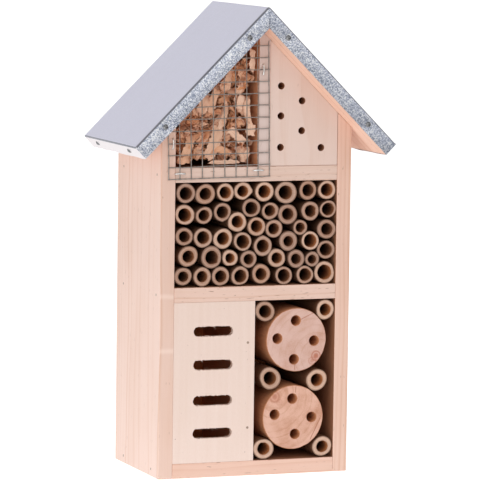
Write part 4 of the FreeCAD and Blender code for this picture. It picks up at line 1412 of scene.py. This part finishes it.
def direction(azimuth, elevation):
    """From the house towards a lamp or the camera. Azimuth 0 is in front and 90 on the right."""
    turn, rise = math.radians(azimuth), math.radians(elevation)
    return Vector((math.sin(turn) * math.cos(rise), -math.cos(turn) * math.cos(rise), math.sin(rise)))


def point_back(name, data, place, away, roll=0.0):
    """Puts a lamp or the camera at a place in metres, looking back along the direction."""
    made = bpy.data.objects.new(name, data)
    made.location = place
    made.rotation_mode = "QUATERNION"
    made.rotation_quaternion = (-away).to_track_quat("-Z", "Y") @ Quaternion((0, 0, 1), math.radians(roll))
    bpy.context.scene.collection.objects.link(made)
    return made


def area_light(name, azimuth, elevation, distance, size, power, colour=(1, 1, 1)):
    """A square soft light that points at the middle of the house."""
    data = bpy.data.lights.new(name, "AREA")
    data.energy = power
    data.size = size
    data.color = colour
    away = direction(azimuth, elevation)
    point_back(name, data, Vector((0, 0, 0.15)) + away * distance, away)


def surroundings():
    """A grey studio: a bright floor behind the house and in front on the left, and a dark ceiling."""
    world = bpy.data.worlds.new("studio")
    bpy.context.scene.world = world
    world.use_nodes = True
    sky = Nodes(world.node_tree)
    spot = Spot(sky, sky.node("TexCoord", {}).outputs["Generated"])
    height = spot["Z"] * 0.5 + 0.5
    left, right, back = (sky.steps(height, *stops) for stops in (LEFT_SKY, RIGHT_SKY, BACK_SKY))
    front = sky.mix(sky.steps(spot["X"] + 0.5, (0.30, 0.0), (0.62, 1.0)), left, right)
    whole = sky.mix(sky.steps(spot["Y"], (0.0, 0.0), (0.35, 1.0)), front, back)
    sky.feed(sky.tree.nodes["Background"].inputs["Color"], whole)


def camera():
    """The camera, placed round the house by angles."""
    data = bpy.data.cameras.new("camera")
    data.lens = CAMERA_LENS
    data.sensor_width = 36.0
    data.shift_x, data.shift_y = CAMERA_SHIFT
    data.clip_start, data.clip_end = 0.1, 100.0
    away = direction(CAMERA_AZIMUTH, CAMERA_ELEVATION)
    place = (CAMERA_TARGET + away * CAMERA_DISTANCE) * MM
    bpy.context.scene.camera = point_back("camera", data, place, away, CAMERA_ROLL)


# ---------------------------------------------------------------- the whole object
def fill_bays(rng):
    """The canes and logs. A bay is its left, right, lowest and highest inner side."""
    cane_looks = [cane_skin(), cane_end(), cane_bore()]
    names = sorted(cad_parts)
    middle = tubes([name for name in names if name.startswith("reed")])
    corner = tubes([name for name in names if name.startswith("bay_reed")])
    logs = tubes(LOGS)
    left, right = box("left_side_panel")[1].x, box("right_side_panel")[0].x
    middle_bay = (left, right, box("lower_shelf")[1].z, box("upper_shelf")[0].z)
    corner_bay = (box("lower_divider")[1].x, right, box("bottom_board")[1].z, box("lower_shelf")[0].z)
    for tube in middle:
        cane(tube, middle, middle_bay, cane_looks, rng)
    for tube in corner:
        cane(tube, corner + logs, corner_bay, cane_looks, rng)
    side = log_side("log_side", (0.60, 0.25, 0.115), (0.33, 0.125, 0.055))
    hole = log_side("log_hole", (0.66, 0.30, 0.14), (0.44, 0.17, 0.075))
    for tube in logs:
        drilled_log(tube, [log_end(tube.name), side, hole], rng)


def build():
    """Dresses the CAD nodes and makes the other pieces, always in the same order of random draws."""
    rng = random.Random(27)
    dress_cad_nodes()
    fill_bays(rng)
    front = plywood("front_plywood", "slotted_panel", (0.807, 0.635, 0.557), (0.72, 0.525, 0.428), 3)
    slotted_front(front, rng)
    roof(galvanised("galvanised_sheet"))
    welded_mesh(metal("wire_zinc", (0.42, 0.385, 0.355), (0.25, 0.22, 0.20), 0.38, 0.5), rng)
    bent_staples(metal("staple_zinc", (0.92, 0.92, 0.91), (0.58, 0.57, 0.56), 0.30, 0.8), rng)
    shavings(shaving_look(), rng)


build()
floor()
surroundings()
area_light("key", -14, 41, 3.2, 4.1, 43.0)
area_light("fill", 48, 26, 1.8, 0.8, 2.4)
area_light("side", -88, -2, 1.5, 0.8, 2.2, (0.93, 0.99, 1.0))
area_light("low", -38, -9, 0.8, 0.45, 0.85)
camera()
bpy.context.scene.view_settings.view_transform = "Standard"
